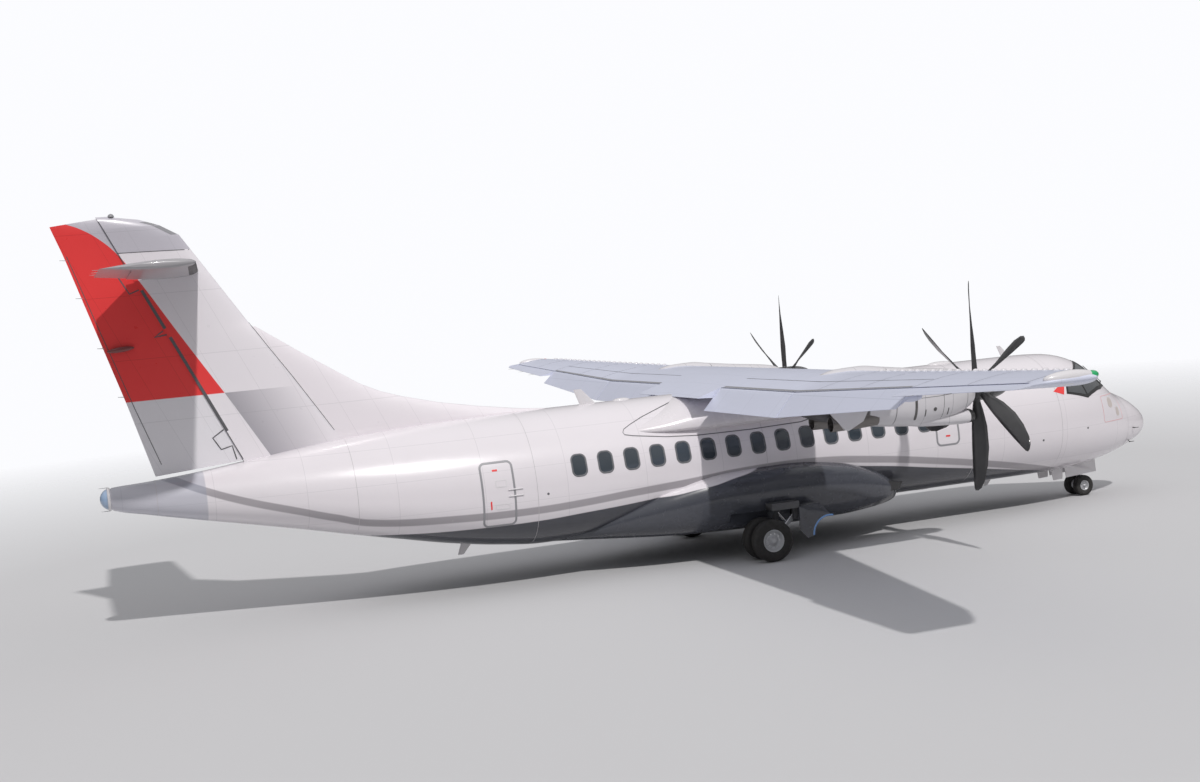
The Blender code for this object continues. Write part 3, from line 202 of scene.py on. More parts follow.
# Belly fairing: x, half width, top of the side, bottom
POD_STATIONS = (
    (-2.85, 0.50, 0.78, 0.660), (-2.40, 0.80, 0.88, 0.655), (-1.70, 1.20, 1.16, 0.630),
    (-0.60, 1.62, 1.48, 0.585), (0.60, 1.82, 1.66, 0.560), (1.80, 1.86, 1.68, 0.550),
    (3.00, 1.80, 1.56, 0.555), (3.70, 1.66, 1.36, 0.590), (4.10, 1.48, 1.18, 0.620),
    (4.35, 1.20, 1.00, 0.640), (4.50, 0.80, 0.84, 0.655),
)

MAIN_AXLE = Vector((1.00, 2.05, 0.4065))
NOSE_AXLE = Vector((9.58, 0.0, 0.225))

WHITE = (0.83, 0.79, 0.825)
FIN_WHITE = (0.92, 0.88, 0.92)
CAP_GREY = (0.60, 0.58, 0.64)
CAP_LOW_Z = 6.86
SWEEP_GREY = (0.27, 0.26, 0.30)
WING_GREY = (0.74, 0.77, 0.92)
CHARCOAL = (0.055, 0.060, 0.075)
BAND_GREY = (0.40, 0.375, 0.40)
RED = (0.90, 0.060, 0.060)


def collection(name):
    made = bpy.data.collections.new(name)
    bpy.context.scene.collection.children.link(made)
    return made


PIECES = collection("looks")


class Paint:
    """A Principled material, with short calls for the nodes that colour it by position."""

    def __init__(self, name, colour, roughness, metallic=0.0, coat=0.0):
        self.material = bpy.data.materials.new(name)
        self.material.use_nodes = True
        self.nodes = self.material.node_tree.nodes
        self.links = self.material.node_tree.links
        self.shader = self.nodes["Principled BSDF"]
        self.shader.inputs["Base Color"].default_value = (*colour, 1.0)
        self.shader.inputs["Roughness"].default_value = roughness
        self.shader.inputs["Metallic"].default_value = metallic
        self.shader.inputs["Coat Weight"].default_value = coat
        self.shader.inputs["Coat Roughness"].default_value = 0.06
        self.coordinates = self.nodes.new("ShaderNodeTexCoord").outputs["Object"]
        split = self.nodes.new("ShaderNodeSeparateXYZ")
        self.links.new(self.coordinates, split.inputs[0])
        self.x, self.y, self.z = split.outputs

    def feed(self, value, socket):
        if isinstance(value, (int, float)):
            socket.default_value = value
        elif isinstance(value, tuple):
            socket.default_value = (*value, 1.0)
        else:
            self.links.new(value, socket)

    def math(self, operation, a, b=0.0, clamp=False):
        node = self.nodes.new("ShaderNodeMath")
        node.operation = operation
        node.use_clamp = clamp
        self.feed(a, node.inputs[0])
        self.feed(b, node.inputs[1])
        return node.outputs[0]

    def step(self, value, softness=0.006):
        """0 where the value is negative and 1 where it is positive, over a soft edge."""
        return self.math("MULTIPLY_ADD", value, 1 / softness, clamp=True)

    def mix(self, factor, a, b):
        node = self.nodes.new("ShaderNodeMix")
        node.data_type = "RGBA"
        self.feed(factor, node.inputs["Factor"])
        self.feed(a, node.inputs[6])
        self.feed(b, node.inputs[7])
        return node.outputs[2]

    def line(self, value, table):
        """Look a value up in a table of points, along a smooth curve."""
        keys = [row[0] for row in table]
        heights = [row[1] for row in table]
        low, span = min(keys), max(keys) - min(keys)
        base, rise = min(heights), max(heights) - min(heights)
        node = self.nodes.new("ShaderNodeFloatCurve")
        curve = node.mapping.curves[0]
        spots = sorted(((k - low) / span, (h - base) / rise) for k, h in table)
        curve.points[0].location = spots[0]
        curve.points[1].location = spots[-1]
        for spot in spots[1:-1]:
            curve.points.new(*spot)
        node.mapping.update()
        share = self.math("DIVIDE", self.math("SUBTRACT", value, low), span)
        self.feed(share, node.inputs["Value"])
        return self.math("ADD", self.math("MULTIPLY", node.outputs[0], rise), base)

    def noise(self, scale, detail=3.0):
        node = self.nodes.new("ShaderNodeTexNoise")
        node.inputs["Scale"].default_value = scale
        node.inputs["Detail"].default_value = detail
        self.links.new(self.coordinates, node.inputs["Vector"])
        return node.outputs["Fac"]

    def seams(self, value, pitch, start, width):
        """1 on thin lines that repeat along a coordinate."""
        phase = self.math("FRACT", self.math("DIVIDE", self.math("SUBTRACT", value, start), pitch))
        away = self.math("ABSOLUTE", self.math("SUBTRACT", phase, 0.5))
        return self.math("GREATER_THAN", away, 0.5 - width / pitch / 2)

    def grime(self, colour, amount=0.10, scale=1.3):
        """Faint large patches of dirt and wear over a colour."""
        patch = self.math("MULTIPLY", self.noise(scale, 5.0), amount)
        return self.mix(patch, colour, tuple(0.45 * c for c in (0.8, 0.78, 0.76)))

    def finish(self, colour, roughness=0.25, bump=0.02, bump_scale=14.0):
        self.links.new(colour, self.shader.inputs["Base Color"])
        rough = self.math("MULTIPLY_ADD", self.noise(6.0), 0.12)
        rough.node.inputs[2].default_value = roughness - 0.06
        self.links.new(rough, self.shader.inputs["Roughness"])
        node = self.nodes.new("ShaderNodeBump")
        node.inputs["Strength"].default_value = bump
        node.inputs["Distance"].default_value = 0.01
        self.links.new(self.noise(bump_scale), node.inputs["Height"])
        self.links.new(node.outputs[0], self.shader.inputs["Normal"])
        return self.material


def hull_paint():
    """White gloss with the grey band and the charcoal belly."""
    p = Paint("hull_paint", WHITE, 0.22, coat=0.5)
    colour = p.grime(WHITE, 0.06)
    away = p.math("ABSOLUTE", p.math("SUBTRACT", p.z, p.line(p.x, BAND_MIDDLE)))
    colour = p.mix(p.step(p.math("SUBTRACT", BAND_HALF, away), 0.02), colour, BAND_GREY)
    seams = p.math("MAXIMUM", p.seams(p.x, 1.59, -2.70, 0.012), p.seams(p.z, 0.62, 0.42, 0.008))
    colour = p.mix(p.math("MULTIPLY", seams, 0.16), colour, (0.2, 0.2, 0.22))
    # Painted shadow: the tailplane's shadow, laid as a bluish-grey tint on the skin aft of x = -9.2.
    tail = p.step(p.math("SUBTRACT", -9.2, p.x), 0.02)
    colour = p.mix(p.math("MULTIPLY", tail, 0.45), colour, (0.30, 0.34, 0.44))
    below = p.math("SUBTRACT", p.line(p.x, BELLY_EDGE), p.z)
    dark = p.mix(p.noise(2.0), CHARCOAL, (0.085, 0.085, 0.10))
    return p.finish(p.mix(p.step(below, 0.015), colour, dark), 0.24)


def fin_paint(name, base):
    """Fin and rudder: the red sweep, the grey one that fades out below it, and a grey cap."""
    p = Paint(name, base, 0.28, coat=0.4)
    colour = p.grime(base, 0.04)
    colour = p.mix(p.step(p.math("SUBTRACT", p.z, CAP_LOW_Z)), colour, CAP_GREY)
    ahead = p.math("SUBTRACT", p.x, p.math("ADD", p.math("MULTIPLY", p.z, GREY_SLOPE), GREY_FOOT_X))
    faded = p.math("SUBTRACT", 1.0, p.math("DIVIDE", ahead, GREY_LENGTH), clamp=True)
    shown = p.math("MULTIPLY", p.step(ahead, 0.01), p.step(p.math("SUBTRACT", RED_LOW_Z, p.z), 0.01))
    colour = p.mix(p.math("MULTIPLY", p.math("MULTIPLY", faded, shown), 0.75), colour, SWEEP_GREY)
    seams = p.math("MAXIMUM", p.seams(p.z, 1.15, 0.35, 0.010), p.seams(
        p.math("ADD", p.x, p.math("MULTIPLY", p.z, 0.46)), 0.62, 0.1, 0.008))
    colour = p.mix(p.math("MULTIPLY", seams, 0.18), colour, (0.2, 0.2, 0.22))
    behind = p.step(p.math("SUBTRACT", p.line(p.z, RED_FRONT), p.x), 0.01)
    above = p.step(p.math("SUBTRACT", p.z, RED_LOW_Z), 0.01)
    sweep = p.math("MULTIPLY", behind, above)
    red = p.mix(p.math("MULTIPLY", seams, 0.3), RED, (0.35, 0.02, 0.02))
    return p.finish(p.mix(sweep, colour, red), 0.30)


def wing_paint():
    p = Paint("wing_skin_paint", WING_GREY, 0.34, coat=0.2)
    colour = p.grime(WING_GREY, 0.08, 0.9)
    seams = p.math("MAXIMUM", p.seams(p.y, 1.21, 0.30, 0.010), p.seams(
        p.math("ADD", p.x, p.math("MULTIPLY", p.math("ABSOLUTE", p.y), 0.05)), 0.55, 0.12, 0.008))
    return p.finish(p.mix(p.math("MULTIPLY", seams, 0.22), colour, (0.18, 0.2, 0.26)), 0.36)


def nacelle_paint():
    """Off-white cowl, darker over the lower rear of its tail."""
    p = Paint("nacelle_paint", WHITE, 0.30, coat=0.3)
    colour = p.grime((0.74, 0.72, 0.75), 0.16, 2.2)
    colour = p.mix(p.math("MULTIPLY", p.seams(p.x, 0.60, 0.22, 0.010), 0.45), colour, (0.15, 0.15, 0.17))
    # Below z 2.98 and aft of x 2.10 the colour turns near black, mottled by noise.
    low = p.step(p.math("SUBTRACT", 2.98, p.z), 0.03)
    back = p.step(p.math("SUBTRACT", 2.10, p.x), 0.03)
    dark_lower_tail = p.mix(p.noise(9.0), (0.05, 0.05, 0.055), (0.16, 0.15, 0.15))
    return p.finish(p.mix(p.math("MULTIPLY", low, back), colour, dark_lower_tail), 0.34)


def belly_paint():
    """Charcoal, and white above the line that climbs over its aft shoulder."""
    p = Paint("belly_fairing_paint", CHARCOAL, 0.26, coat=0.5)
    dark = p.mix(p.noise(2.0), CHARCOAL, (0.070, 0.074, 0.090))
    above = p.math("SUBTRACT", p.z, p.line(p.x, POD_EDGE))
    return p.finish(p.mix(p.step(above, 0.015), dark, WHITE), 0.26, 0.01)


def plain_paint(name, colour, roughness, metallic=0.0, coat=0.0, grime=0.12, bump=0.03, scale=20.0):
    p = Paint(name, colour, roughness, metallic, coat)
    return p.finish(p.grime(colour, grime, scale / 8), roughness, bump, scale)


def tyre_paint():
    p = Paint("tyre_paint", (0.02, 0.02, 0.021), 0.8)
    dust = p.mix(p.noise(18.0), (0.016, 0.016, 0.017), (0.05, 0.047, 0.044))
    return p.finish(dust, 0.78, 0.25, 90.0)


def glass_paint(name, colour, roughness=0.06):
    p = Paint(name, colour, roughness, coat=1.0)
    shade = p.mix(p.noise(1.7), colour, tuple(1.9 * c for c in colour))
    return p.finish(shade, roughness + 0.03, 0.005, 3.0)


PAINTS = {
    "hull": hull_paint(),
    "fin": fin_paint("fin_paint", FIN_WHITE),
    "rudder": fin_paint("rudder_paint", (0.86, 0.84, 0.88)),
    "dorsal": fin_paint("dorsal_paint", (0.92, 0.87, 0.91)),
    "wing": wing_paint(),
    # Tailplane and elevators: a darker grey than the wing, painted shade copied from their shaded underside.
    "tail": plain_paint("tailplane_grey_with_painted_shade", (0.40, 0.39, 0.41), 0.34, coat=0.2, scale=12.0),
    "nacelle": nacelle_paint(),
    "belly": belly_paint(),
    "white": plain_paint("white_trim", (0.78, 0.76, 0.78), 0.3, coat=0.3),
    "grey": plain_paint("grey_trim", (0.30, 0.30, 0.32), 0.38),
    "rim_grey": plain_paint("window_rim_grey", (0.13, 0.135, 0.15), 0.42),
    "saddle": plain_paint("saddle_paint", (0.82, 0.78, 0.81), 0.26, coat=0.4, grime=0.06, bump=0.01),
    "boot": plain_paint("boot_rubber", (0.030, 0.030, 0.033), 0.55, grime=0.2, bump=0.05),
    # Near-black vent colour: painted shade standing in for the dark insides of the cowl vents and louvres.
    "vent_shade": plain_paint("vent_opening_shade", (0.035, 0.034, 0.034), 0.6, 0.3, grime=0.5, bump=0.06),
    "faint": plain_paint("panel_joint", (0.50, 0.48, 0.50), 0.4),
    "pink": plain_paint("pink_outline", (0.80, 0.42, 0.44), 0.35),
    "beige": plain_paint("cover_paint", (0.62, 0.56, 0.53), 0.35),
    "dark_red": plain_paint("dark_red_paint", (0.20, 0.015, 0.015), 0.30, coat=0.5, grime=0.2),
    "dark_gear": plain_paint("dark_gear_enamel", (0.080, 0.082, 0.090), 0.40, 0.2, grime=0.2),
    "prop": plain_paint("propeller_black", (0.030, 0.030, 0.033), 0.36, coat=0.3, grime=0.15, bump=0.02),
    "spinner": plain_paint("spinner_black", (0.022, 0.022, 0.025), 0.22, coat=0.7, grime=0.10, bump=0.01),
    "seam": plain_paint("seam_sealant", (0.10, 0.10, 0.11), 0.55),
    "black": plain_paint("black_composite", (0.018, 0.018, 0.020), 0.34, coat=0.2, bump=0.05),
    "gear": plain_paint("gear_enamel", (0.33, 0.34, 0.36), 0.38, 0.2, grime=0.35, bump=0.06),
    "steel": plain_paint("bright_steel", (0.72, 0.72, 0.74), 0.18, 1.0, grime=0.1),
    "rim": plain_paint("rim_enamel", (0.55, 0.56, 0.58), 0.35, 0.2, grime=0.25, bump=0.04),
    "tyre": tyre_paint(),
    "glass": glass_paint("cabin_glass", (0.031, 0.040, 0.050)),
    "canopy": glass_paint("cockpit_glass", (0.058, 0.062, 0.066)),
    "engine": plain_paint("engine_metal", (0.30, 0.29, 0.28), 0.4, 0.8, grime=0.4),
    "lining": plain_paint("cabin_lining", (0.42, 0.41, 0.40), 0.7, grime=0.2),
    "red_lamp": glass_paint("red_lens", (0.50, 0.01, 0.01), 0.1),
    "green_lamp": glass_paint("green_lens", (0.01, 0.30, 0.10), 0.1),
    "clear_lamp": glass_paint("clear_lens", (0.22, 0.30, 0.42), 0.08),
    "red": plain_paint("red_mark", RED, 0.35, grime=0.05),
    "blue": plain_paint("door_edge_blue", (0.20, 0.40, 0.78), 0.35, grime=0.1),
    "burnt": plain_paint("burnt_steel", (0.17, 0.155, 0.145), 0.42, 0.7, grime=0.5, bump=0.06),
}


def place(name, mesh, paint, body, *replaced, smooth=40, slot=None):
    """Put a mesh in the scene, riding on a body and standing for the nodes it replaces."""
    mesh.materials.clear()
    mesh.materials.append(PAINTS[paint])
    mesh.shade_smooth()
    mesh.set_sharp_from_angle(angle=math.radians(smooth))
    item = bpy.data.objects.new(name, mesh)
    PIECES.objects.link(item)
    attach(item, body)
    if replaced:
        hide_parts(*replaced)
    return item


def finish_mesh(name, bm):
    bmesh.ops.remove_doubles(bm, verts=bm.verts, dist=1e-5)
    bmesh.ops.recalc_face_normals(bm, faces=bm.faces)
    mesh = bpy.data.meshes.new(name)
    bm.to_mesh(mesh)
    bm.free()
    return mesh


def loft(name, rings, capped=True, closed=True):
    """Skin a row of rings with equal point counts."""
    bm = bmesh.new()
    rows = [[bm.verts.new(point) for point in ring] for ring in rings]
    count = len(rows[0])
    for lower, upper in zip(rows, rows[1:]):
        for k in range(count if closed else count - 1):
            n = (k + 1) % count
            bm.faces.new((lower[k], lower[n], upper[n], upper[k]))
    if capped:
        bm.faces.new(rows[0])
        bm.faces.new(rows[-1])
    return finish_mesh(name, bm)


def merged(name, meshes):
    bm = bmesh.new()
    for mesh in meshes:
        bm.from_mesh(mesh)
        bpy.data.meshes.remove(mesh)
    mesh = bpy.data.meshes.new(name)
    bm.to_mesh(mesh)
    bm.free()
    return mesh


def rounded_box(low, high, bevel):
    bm = bmesh.new()
    bmesh.ops.create_cube(bm, size=1.0)
    low, high = Vector(low), Vector(high)
    for vertex in bm.verts:
        vertex.co = (low + high) / 2 + vertex.co * (high - low)
    bmesh.ops.bevel(bm, geom=bm.edges, offset=bevel, segments=2, affect="EDGES", profile=0.5)
    return finish_mesh("box", bm)


def bar(start, end, radius, end_radius=None, segments=16):
    start, end = Vector(start), Vector(end)
    bm = bmesh.new()
    bmesh.ops.create_cone(bm, cap_ends=True, segments=segments, radius1=radius,
                          radius2=radius if end_radius is None else end_radius,
                          depth=(end - start).length)
    turn = (end - start).to_track_quat("Z", "Y").to_matrix().to_4x4()
    turn.translation = (start + end) / 2
    bm.transform(turn)
    return finish_mesh("bar", bm)


def turned(profile, centre, axis, steps=48, closed=True):
    """Turn a profile of (radius, offset) about an axis through a centre."""
    turn = Vector(axis).to_track_quat("Z", "Y")
    rings = []
    for k in range(steps):
        angle = 2 * math.pi * k / steps
        rings.append([Vector(centre) + turn @ Vector((r * math.cos(angle), r * math.sin(angle), h))
                      for r, h in profile])
    bm = bmesh.new()
    rows = [[bm.verts.new(point) for point in ring] for ring in rings]
    count = len(profile)
    for k in range(steps):
        row, after = rows[k], rows[(k + 1) % steps]
        for j in range(count if closed else count - 1):
            n = (j + 1) % count
            bm.faces.new((row[j], row[n], after[n], after[j]))
    bmesh.ops.dissolve_degenerate(bm, edges=bm.edges, dist=1e-6)
    return finish_mesh("turned", bm)


def smooth_copy(node, paint, body, name=None, smooth=35):
    """A welded copy of a solid that already has the right shape, shaded smooth."""
    bm = bmesh.new()
    bm.from_mesh(NODES[node].data)
    bmesh.ops.remove_doubles(bm, verts=bm.verts, dist=1e-5)
    mesh = bpy.data.meshes.new(name or node + "_skin")
    bm.to_mesh(mesh)
    bm.free()
    return place(name or node + "_skin", mesh, paint, body, node, smooth=smooth)


BLENDED = {}


def blend(table, key):
    """Monotone cubic interpolation of every column of a table against its first column."""
    found = BLENDED.get((id(table), key))
    if found:
        return found
    rows = sorted(table)
    place_at = min(max(key, rows[0][0]), rows[-1][0])
    i = max(j for j in range(len(rows) - 1) if rows[j][0] <= place_at)

    def slope(j, column):
        if j == 0 or j == len(rows) - 1:
            return 0.0
        before = (rows[j][column] - rows[j - 1][column]) / (rows[j][0] - rows[j - 1][0])
        after = (rows[j + 1][column] - rows[j][column]) / (rows[j + 1][0] - rows[j][0])
        return 0.0 if before * after <= 0 else 2 * before * after / (before + after)

    width = rows[i + 1][0] - rows[i][0]
    t = (place_at - rows[i][0]) / width
    values = []
    for column in range(1, len(rows[0])):
        a, b = rows[i][column], rows[i + 1][column]
        m0, m1 = slope(i, column) * width, slope(i + 1, column) * width
        values.append((2 * t**3 - 3 * t**2 + 1) * a + (t**3 - 2 * t**2 + t) * m0
                      + (3 * t**2 - 2 * t**3) * b + (t**3 - t**2) * m1)
    BLENDED[(id(table), key)] = values
    return values


class Skin:
    """A body of sections: a half ellipse above the waist and a flattened one below it.

    Angle 0 is the top and 90 degrees is the port side.
    """

    def __init__(self, table, centre_y=0.0, power=BELLY_POWER):
        self.table, self.centre_y, self.power = table, centre_y, power

    def point(self, x, angle, grow=0.0):
        half_width, top, waist, bottom = blend(self.table, x)
        side, up = math.sin(angle), math.cos(angle)
        if up >= 0:
            return Vector((x, self.centre_y + (half_width + grow) * side,
                           waist + (top - waist + grow) * up))
        share = 2 / self.power
        y = (half_width + grow) * math.copysign(abs(side) ** share, side)
        return Vector((x, self.centre_y + y, waist - (waist - bottom + grow) * abs(up) ** share))

    def angle(self, x, z):
        """The port-side angle at which the skin reaches height z."""
        low, high = 0.0, math.pi
        for _ in range(26):
            middle = (low + high) / 2
            if self.point(x, middle).z > z:
                low = middle
            else:
                high = middle
        return low

    def normal(self, x, angle):
        ahead = self.point(x + 0.01, angle) - self.point(x - 0.01, angle)
        across = self.point(x, angle + 1e-3) - self.point(x, angle - 1e-3)
        normal = across.cross(ahead).normalized()
        outward = Vector((0.0, math.sin(angle), math.cos(angle)))
        return normal if normal.dot(outward) > 0 else -normal

    def lifted(self, x, angle, lift):
        """A point lifted off the skin, at a signed angle."""
        point = self.point(x, abs(angle)) + self.normal(x, abs(angle)) * lift
        if angle < 0:
            point.y = 2 * self.centre_y - point.y
        return point

    def spot(self, x, z, side, lift):
        """The skin's point at x and z, lifted off along its normal."""
        return self.lifted(x, side * self.angle(x, z), lift)

    def rings(self, stations, sides, grow=0.0):
        return [[self.point(x, 2 * math.pi * k / sides, grow) for k in range(sides)]
                for x in stations]


HULL = Skin(HULL_STATIONS)


def spread(start, end, step):
    count = max(1, math.ceil(abs(end - start) / step))
    return [start + (end - start) * k / count for k in range(count + 1)]


def hull_loft(name, x0, x1):
    stations = spread(x0, x1, HULL_STEP)
    if x1 > RADOME_X:
        stations = [x for x in stations if x < 11.0] + [11.05, 11.15, 11.23, 11.28, 11.31, 11.325, 11.335]
    return loft(name, HULL.rings(stations, HULL_SIDES))


def skin_patch(name, door, edge, outside, inside, rows=30, columns=10):
    """A piece of skin between two stations and two heights, cut square to the skin."""
    rings = []
    for x in spread(door["x0"] - edge, door["x1"] + edge, (door["x1"] - door["x0"]) / columns):
        first = HULL.angle(x, door["z1"]) - edge / 1.4
        last = HULL.angle(x, door["z0"]) + edge / 1.4
        outer, inner = [], []
        for k in range(rows + 1):
            angle = first + (last - first) * k / rows
            point = HULL.point(x, angle)
            tangent = (HULL.point(x, angle + 1e-3) - HULL.point(x, angle - 1e-3)).normalized()
            normal = Vector((0.0, -tangent.z, tangent.y))
            outer.append(point + normal * outside)
            inner.append(point - normal * inside)
        rings.append([Vector((p.x, p.y * door["side"], p.z)) for p in outer + inner[::-1]])
    return loft(name, rings)


def cut(item, mesh):
    """Subtract a mesh from a piece and keep the result as its mesh."""
    cutter = bpy.data.objects.new("cutter", mesh)
    bpy.context.scene.collection.objects.link(cutter)
    modifier = item.modifiers.new("cut", "BOOLEAN")
    modifier.solver = "EXACT"
    modifier.object = cutter
    graph = bpy.context.evaluated_depsgraph_get()
    result = bpy.data.meshes.new_from_object(item.evaluated_get(graph))
    item.modifiers.remove(modifier)
    item.data = result
    bpy.data.objects.remove(cutter, do_unlink=True)


def build_hull():
    """Smooth fuselage skins, with the two door openings."""
    spans = (
        ("radome", RADOME_X, 11.335), ("fuselage_forward", FORWARD_X, RADOME_X),
        ("fuselage_centre", REAR_X, FORWARD_X), ("fuselage_rear", TAIL_CONE_X, REAR_X),
        ("tail_cone", -10.95, TAIL_CONE_X),
    )
    skins = {}
    for node, x0, x1 in spans:
        skins[node] = place("skin_" + node, hull_loft(node, x0, x1), "hull", "airframe", node,
                            slot="white_paint")
    for node, door in (("fuselage_rear", PASSENGER_DOOR), ("fuselage_forward", CARGO_DOOR)):
        cut(skins[node], skin_patch("opening", door, DOOR_GAP, 0.08, VESTIBULE))


def outline(width, height, radius, count=8, sides=12):
    """A rounded rectangle about the origin, its straight sides cut into short steps."""
    arcs = []
    for cx, cy, start in ((1, 1, 0), (-1, 1, 90), (-1, -1, 180), (1, -1, 270)):
        angles = [math.radians(start + 90 * k / (count - 1)) for k in range(count)]
        arcs.append([(cx * (width / 2 - radius) + radius * math.cos(a),
                      cy * (height / 2 - radius) + radius * math.sin(a)) for a in angles])
    points = []
    for arc, after in zip(arcs, arcs[1:] + arcs[:1]):
        points += arc
        (u0, w0), (u1, w1) = arc[-1], after[0]
        points += [(u0 + (u1 - u0) * k / sides, w0 + (w1 - w0) * k / sides) for k in range(1, sides)]
    return points


def rim(skin, x, z, size, radius, side, steps):
    """A raised rim on a skin: steps of (outset, lift) from outside to inside."""
    rings = []
    for outset, lift in steps:
        shape = outline(size[0] + 2 * outset, size[1] + 2 * outset, radius + outset)
        rings.append([skin.spot(x + u, z + w, side, lift) for u, w in shape])
    return loft("rim", rings, capped=False)


def pane(skin, x, z, size, radius, side, lift):
    """A thin rounded plate on a skin, as rings that shrink to its middle."""
    rings = []
    for share, height in ((1.0, 0.0), (0.985, lift), (0.7, lift), (0.4, lift), (0.1, lift)):
        shape = outline(size[0] * share, size[1] * share, radius * share)
        rings.append([skin.spot(x + u, z + w, side, height) for u, w in shape])
    bm = bmesh.new()
    rows = [[bm.verts.new(point) for point in ring] for ring in rings]
    count = len(rows[0])
    for row, after in zip(rows, rows[1:]):
        for k in range(count):
            bm.faces.new((row[k], row[(k + 1) % count], after[(k + 1) % count], after[k]))
    bm.faces.new(rows[-1])
    return finish_mesh("pane", bm)


def strip(spots, width, place_at, step=0.12):
    """A thin line along (x, z) spots, each side of it put on a surface by place_at(x, z)."""
    track = [Vector((spots[0][0], spots[0][1]))]
    for (x0, z0), (x1, z1) in zip(spots, spots[1:]):
        count = max(1, round(math.hypot(x1 - x0, z1 - z0) / step))
        track += [Vector((x0 + (x1 - x0) * k / count, z0 + (z1 - z0) * k / count))
                  for k in range(1, count + 1)]
    bm = bmesh.new()
    rows = []
    for k, spot in enumerate(track):
        along = (track[min(k + 1, len(track) - 1)] - track[max(k - 1, 0)]).normalized()
        across = Vector((-along.y, along.x)) * width / 2
        rows.append([bm.verts.new(place_at(*(spot + across * share))) for share in (-1, 0, 1)])
    for row, after in zip(rows, rows[1:]):
        for k in range(2):
            bm.faces.new((row[k], row[k + 1], after[k + 1], after[k]))
    return finish_mesh("strip", bm)


def hull_strip(spots, width, side, lift=0.003):
    return strip(spots, width, lambda x, z: HULL.spot(x, z, side, lift))


def quad_patch(corners, side, lift, count=6):
    """A patch of the fuselage between four (x, z) corners."""
    (a, b), (c, d), (e, f), (g, h) = corners
    rows = []
    for j in range(count + 1):
        t = j / count
        x0, z0, x1, z1 = a + (g - a) * t, b + (h - b) * t, c + (e - c) * t, d + (f - d) * t
        rows.append([HULL.spot(x0 + (x1 - x0) * k / count, z0 + (z1 - z0) * k / count, side, lift)
                     for k in range(count + 1)])
    return loft("patch", rows, capped=False, closed=False)


def dome(centre, radii, axis=(0, 0, 1), segments=24):
    """An ellipsoid with its last radius along an axis."""
    bm = bmesh.new()
    bmesh.ops.create_uvsphere(bm, u_segments=segments, v_segments=segments // 2, radius=1.0)
    for vertex in bm.verts:
        vertex.co = Vector((vertex.co.x * radii[0], vertex.co.y * radii[1], vertex.co.z * radii[2]))
    turn = Vector(axis).to_track_quat("Z", "Y").to_matrix().to_4x4()
    turn.translation = Vector(centre)
    bm.transform(turn)
    return finish_mesh("dome", bm)


def blade(root, chord, tip, tip_chord, thickness, lean=(0, 0, 1)):
    """A thin swept aerial or fence from a root point to a tip point, both at mid-chord."""
    rings = []
    for centre, length in ((root, chord), (tip, tip_chord)):
        centre = Vector(centre)
        across = Vector(lean).cross(Vector((1, 0, 0)))
        across = across.normalized() if across.length > 0.1 else Vector((0, 1, 0))
        rings.append([centre + Vector((length / 2 * math.cos(a), 0, 0))
                      + across * thickness / 2 * math.sin(a)
                      for a in (2 * math.pi * k / 16 for k in range(16))])
    return loft("blade", rings)


RIM_STEPS = ((0.032, 0.000), (0.030, 0.006), (0.010, 0.008), (0.000, 0.003))
SEAM_STEPS = ((0.010, 0.000), (0.008, 0.003), (-0.008, 0.003), (-0.010, 0.000))
FRAME_STEPS = ((0.022, 0.000), (0.018, 0.005), (-0.014, 0.005), (-0.018, 0.000))


def build_windows():
    """Cabin windows on both sides, each with a rim and a dark pane."""
    for side, word in ((1, "port"), (-1, "starboard")):
        rims, panes = [], []
        for k in range(WINDOW_COUNT):
            x = WINDOW_X0 + WINDOW_PITCH * k
            rims.append(rim(HULL, x, WINDOW_Z, WINDOW_SIZE, 0.085, side, RIM_STEPS))
            panes.append(pane(HULL, x, WINDOW_Z, WINDOW_SIZE, 0.085, side, 0.003))
        place("window_rims_" + word, merged("rims", rims), "rim_grey", "airframe")
        place("window_panes_" + word, merged("panes", panes), "glass", "airframe")


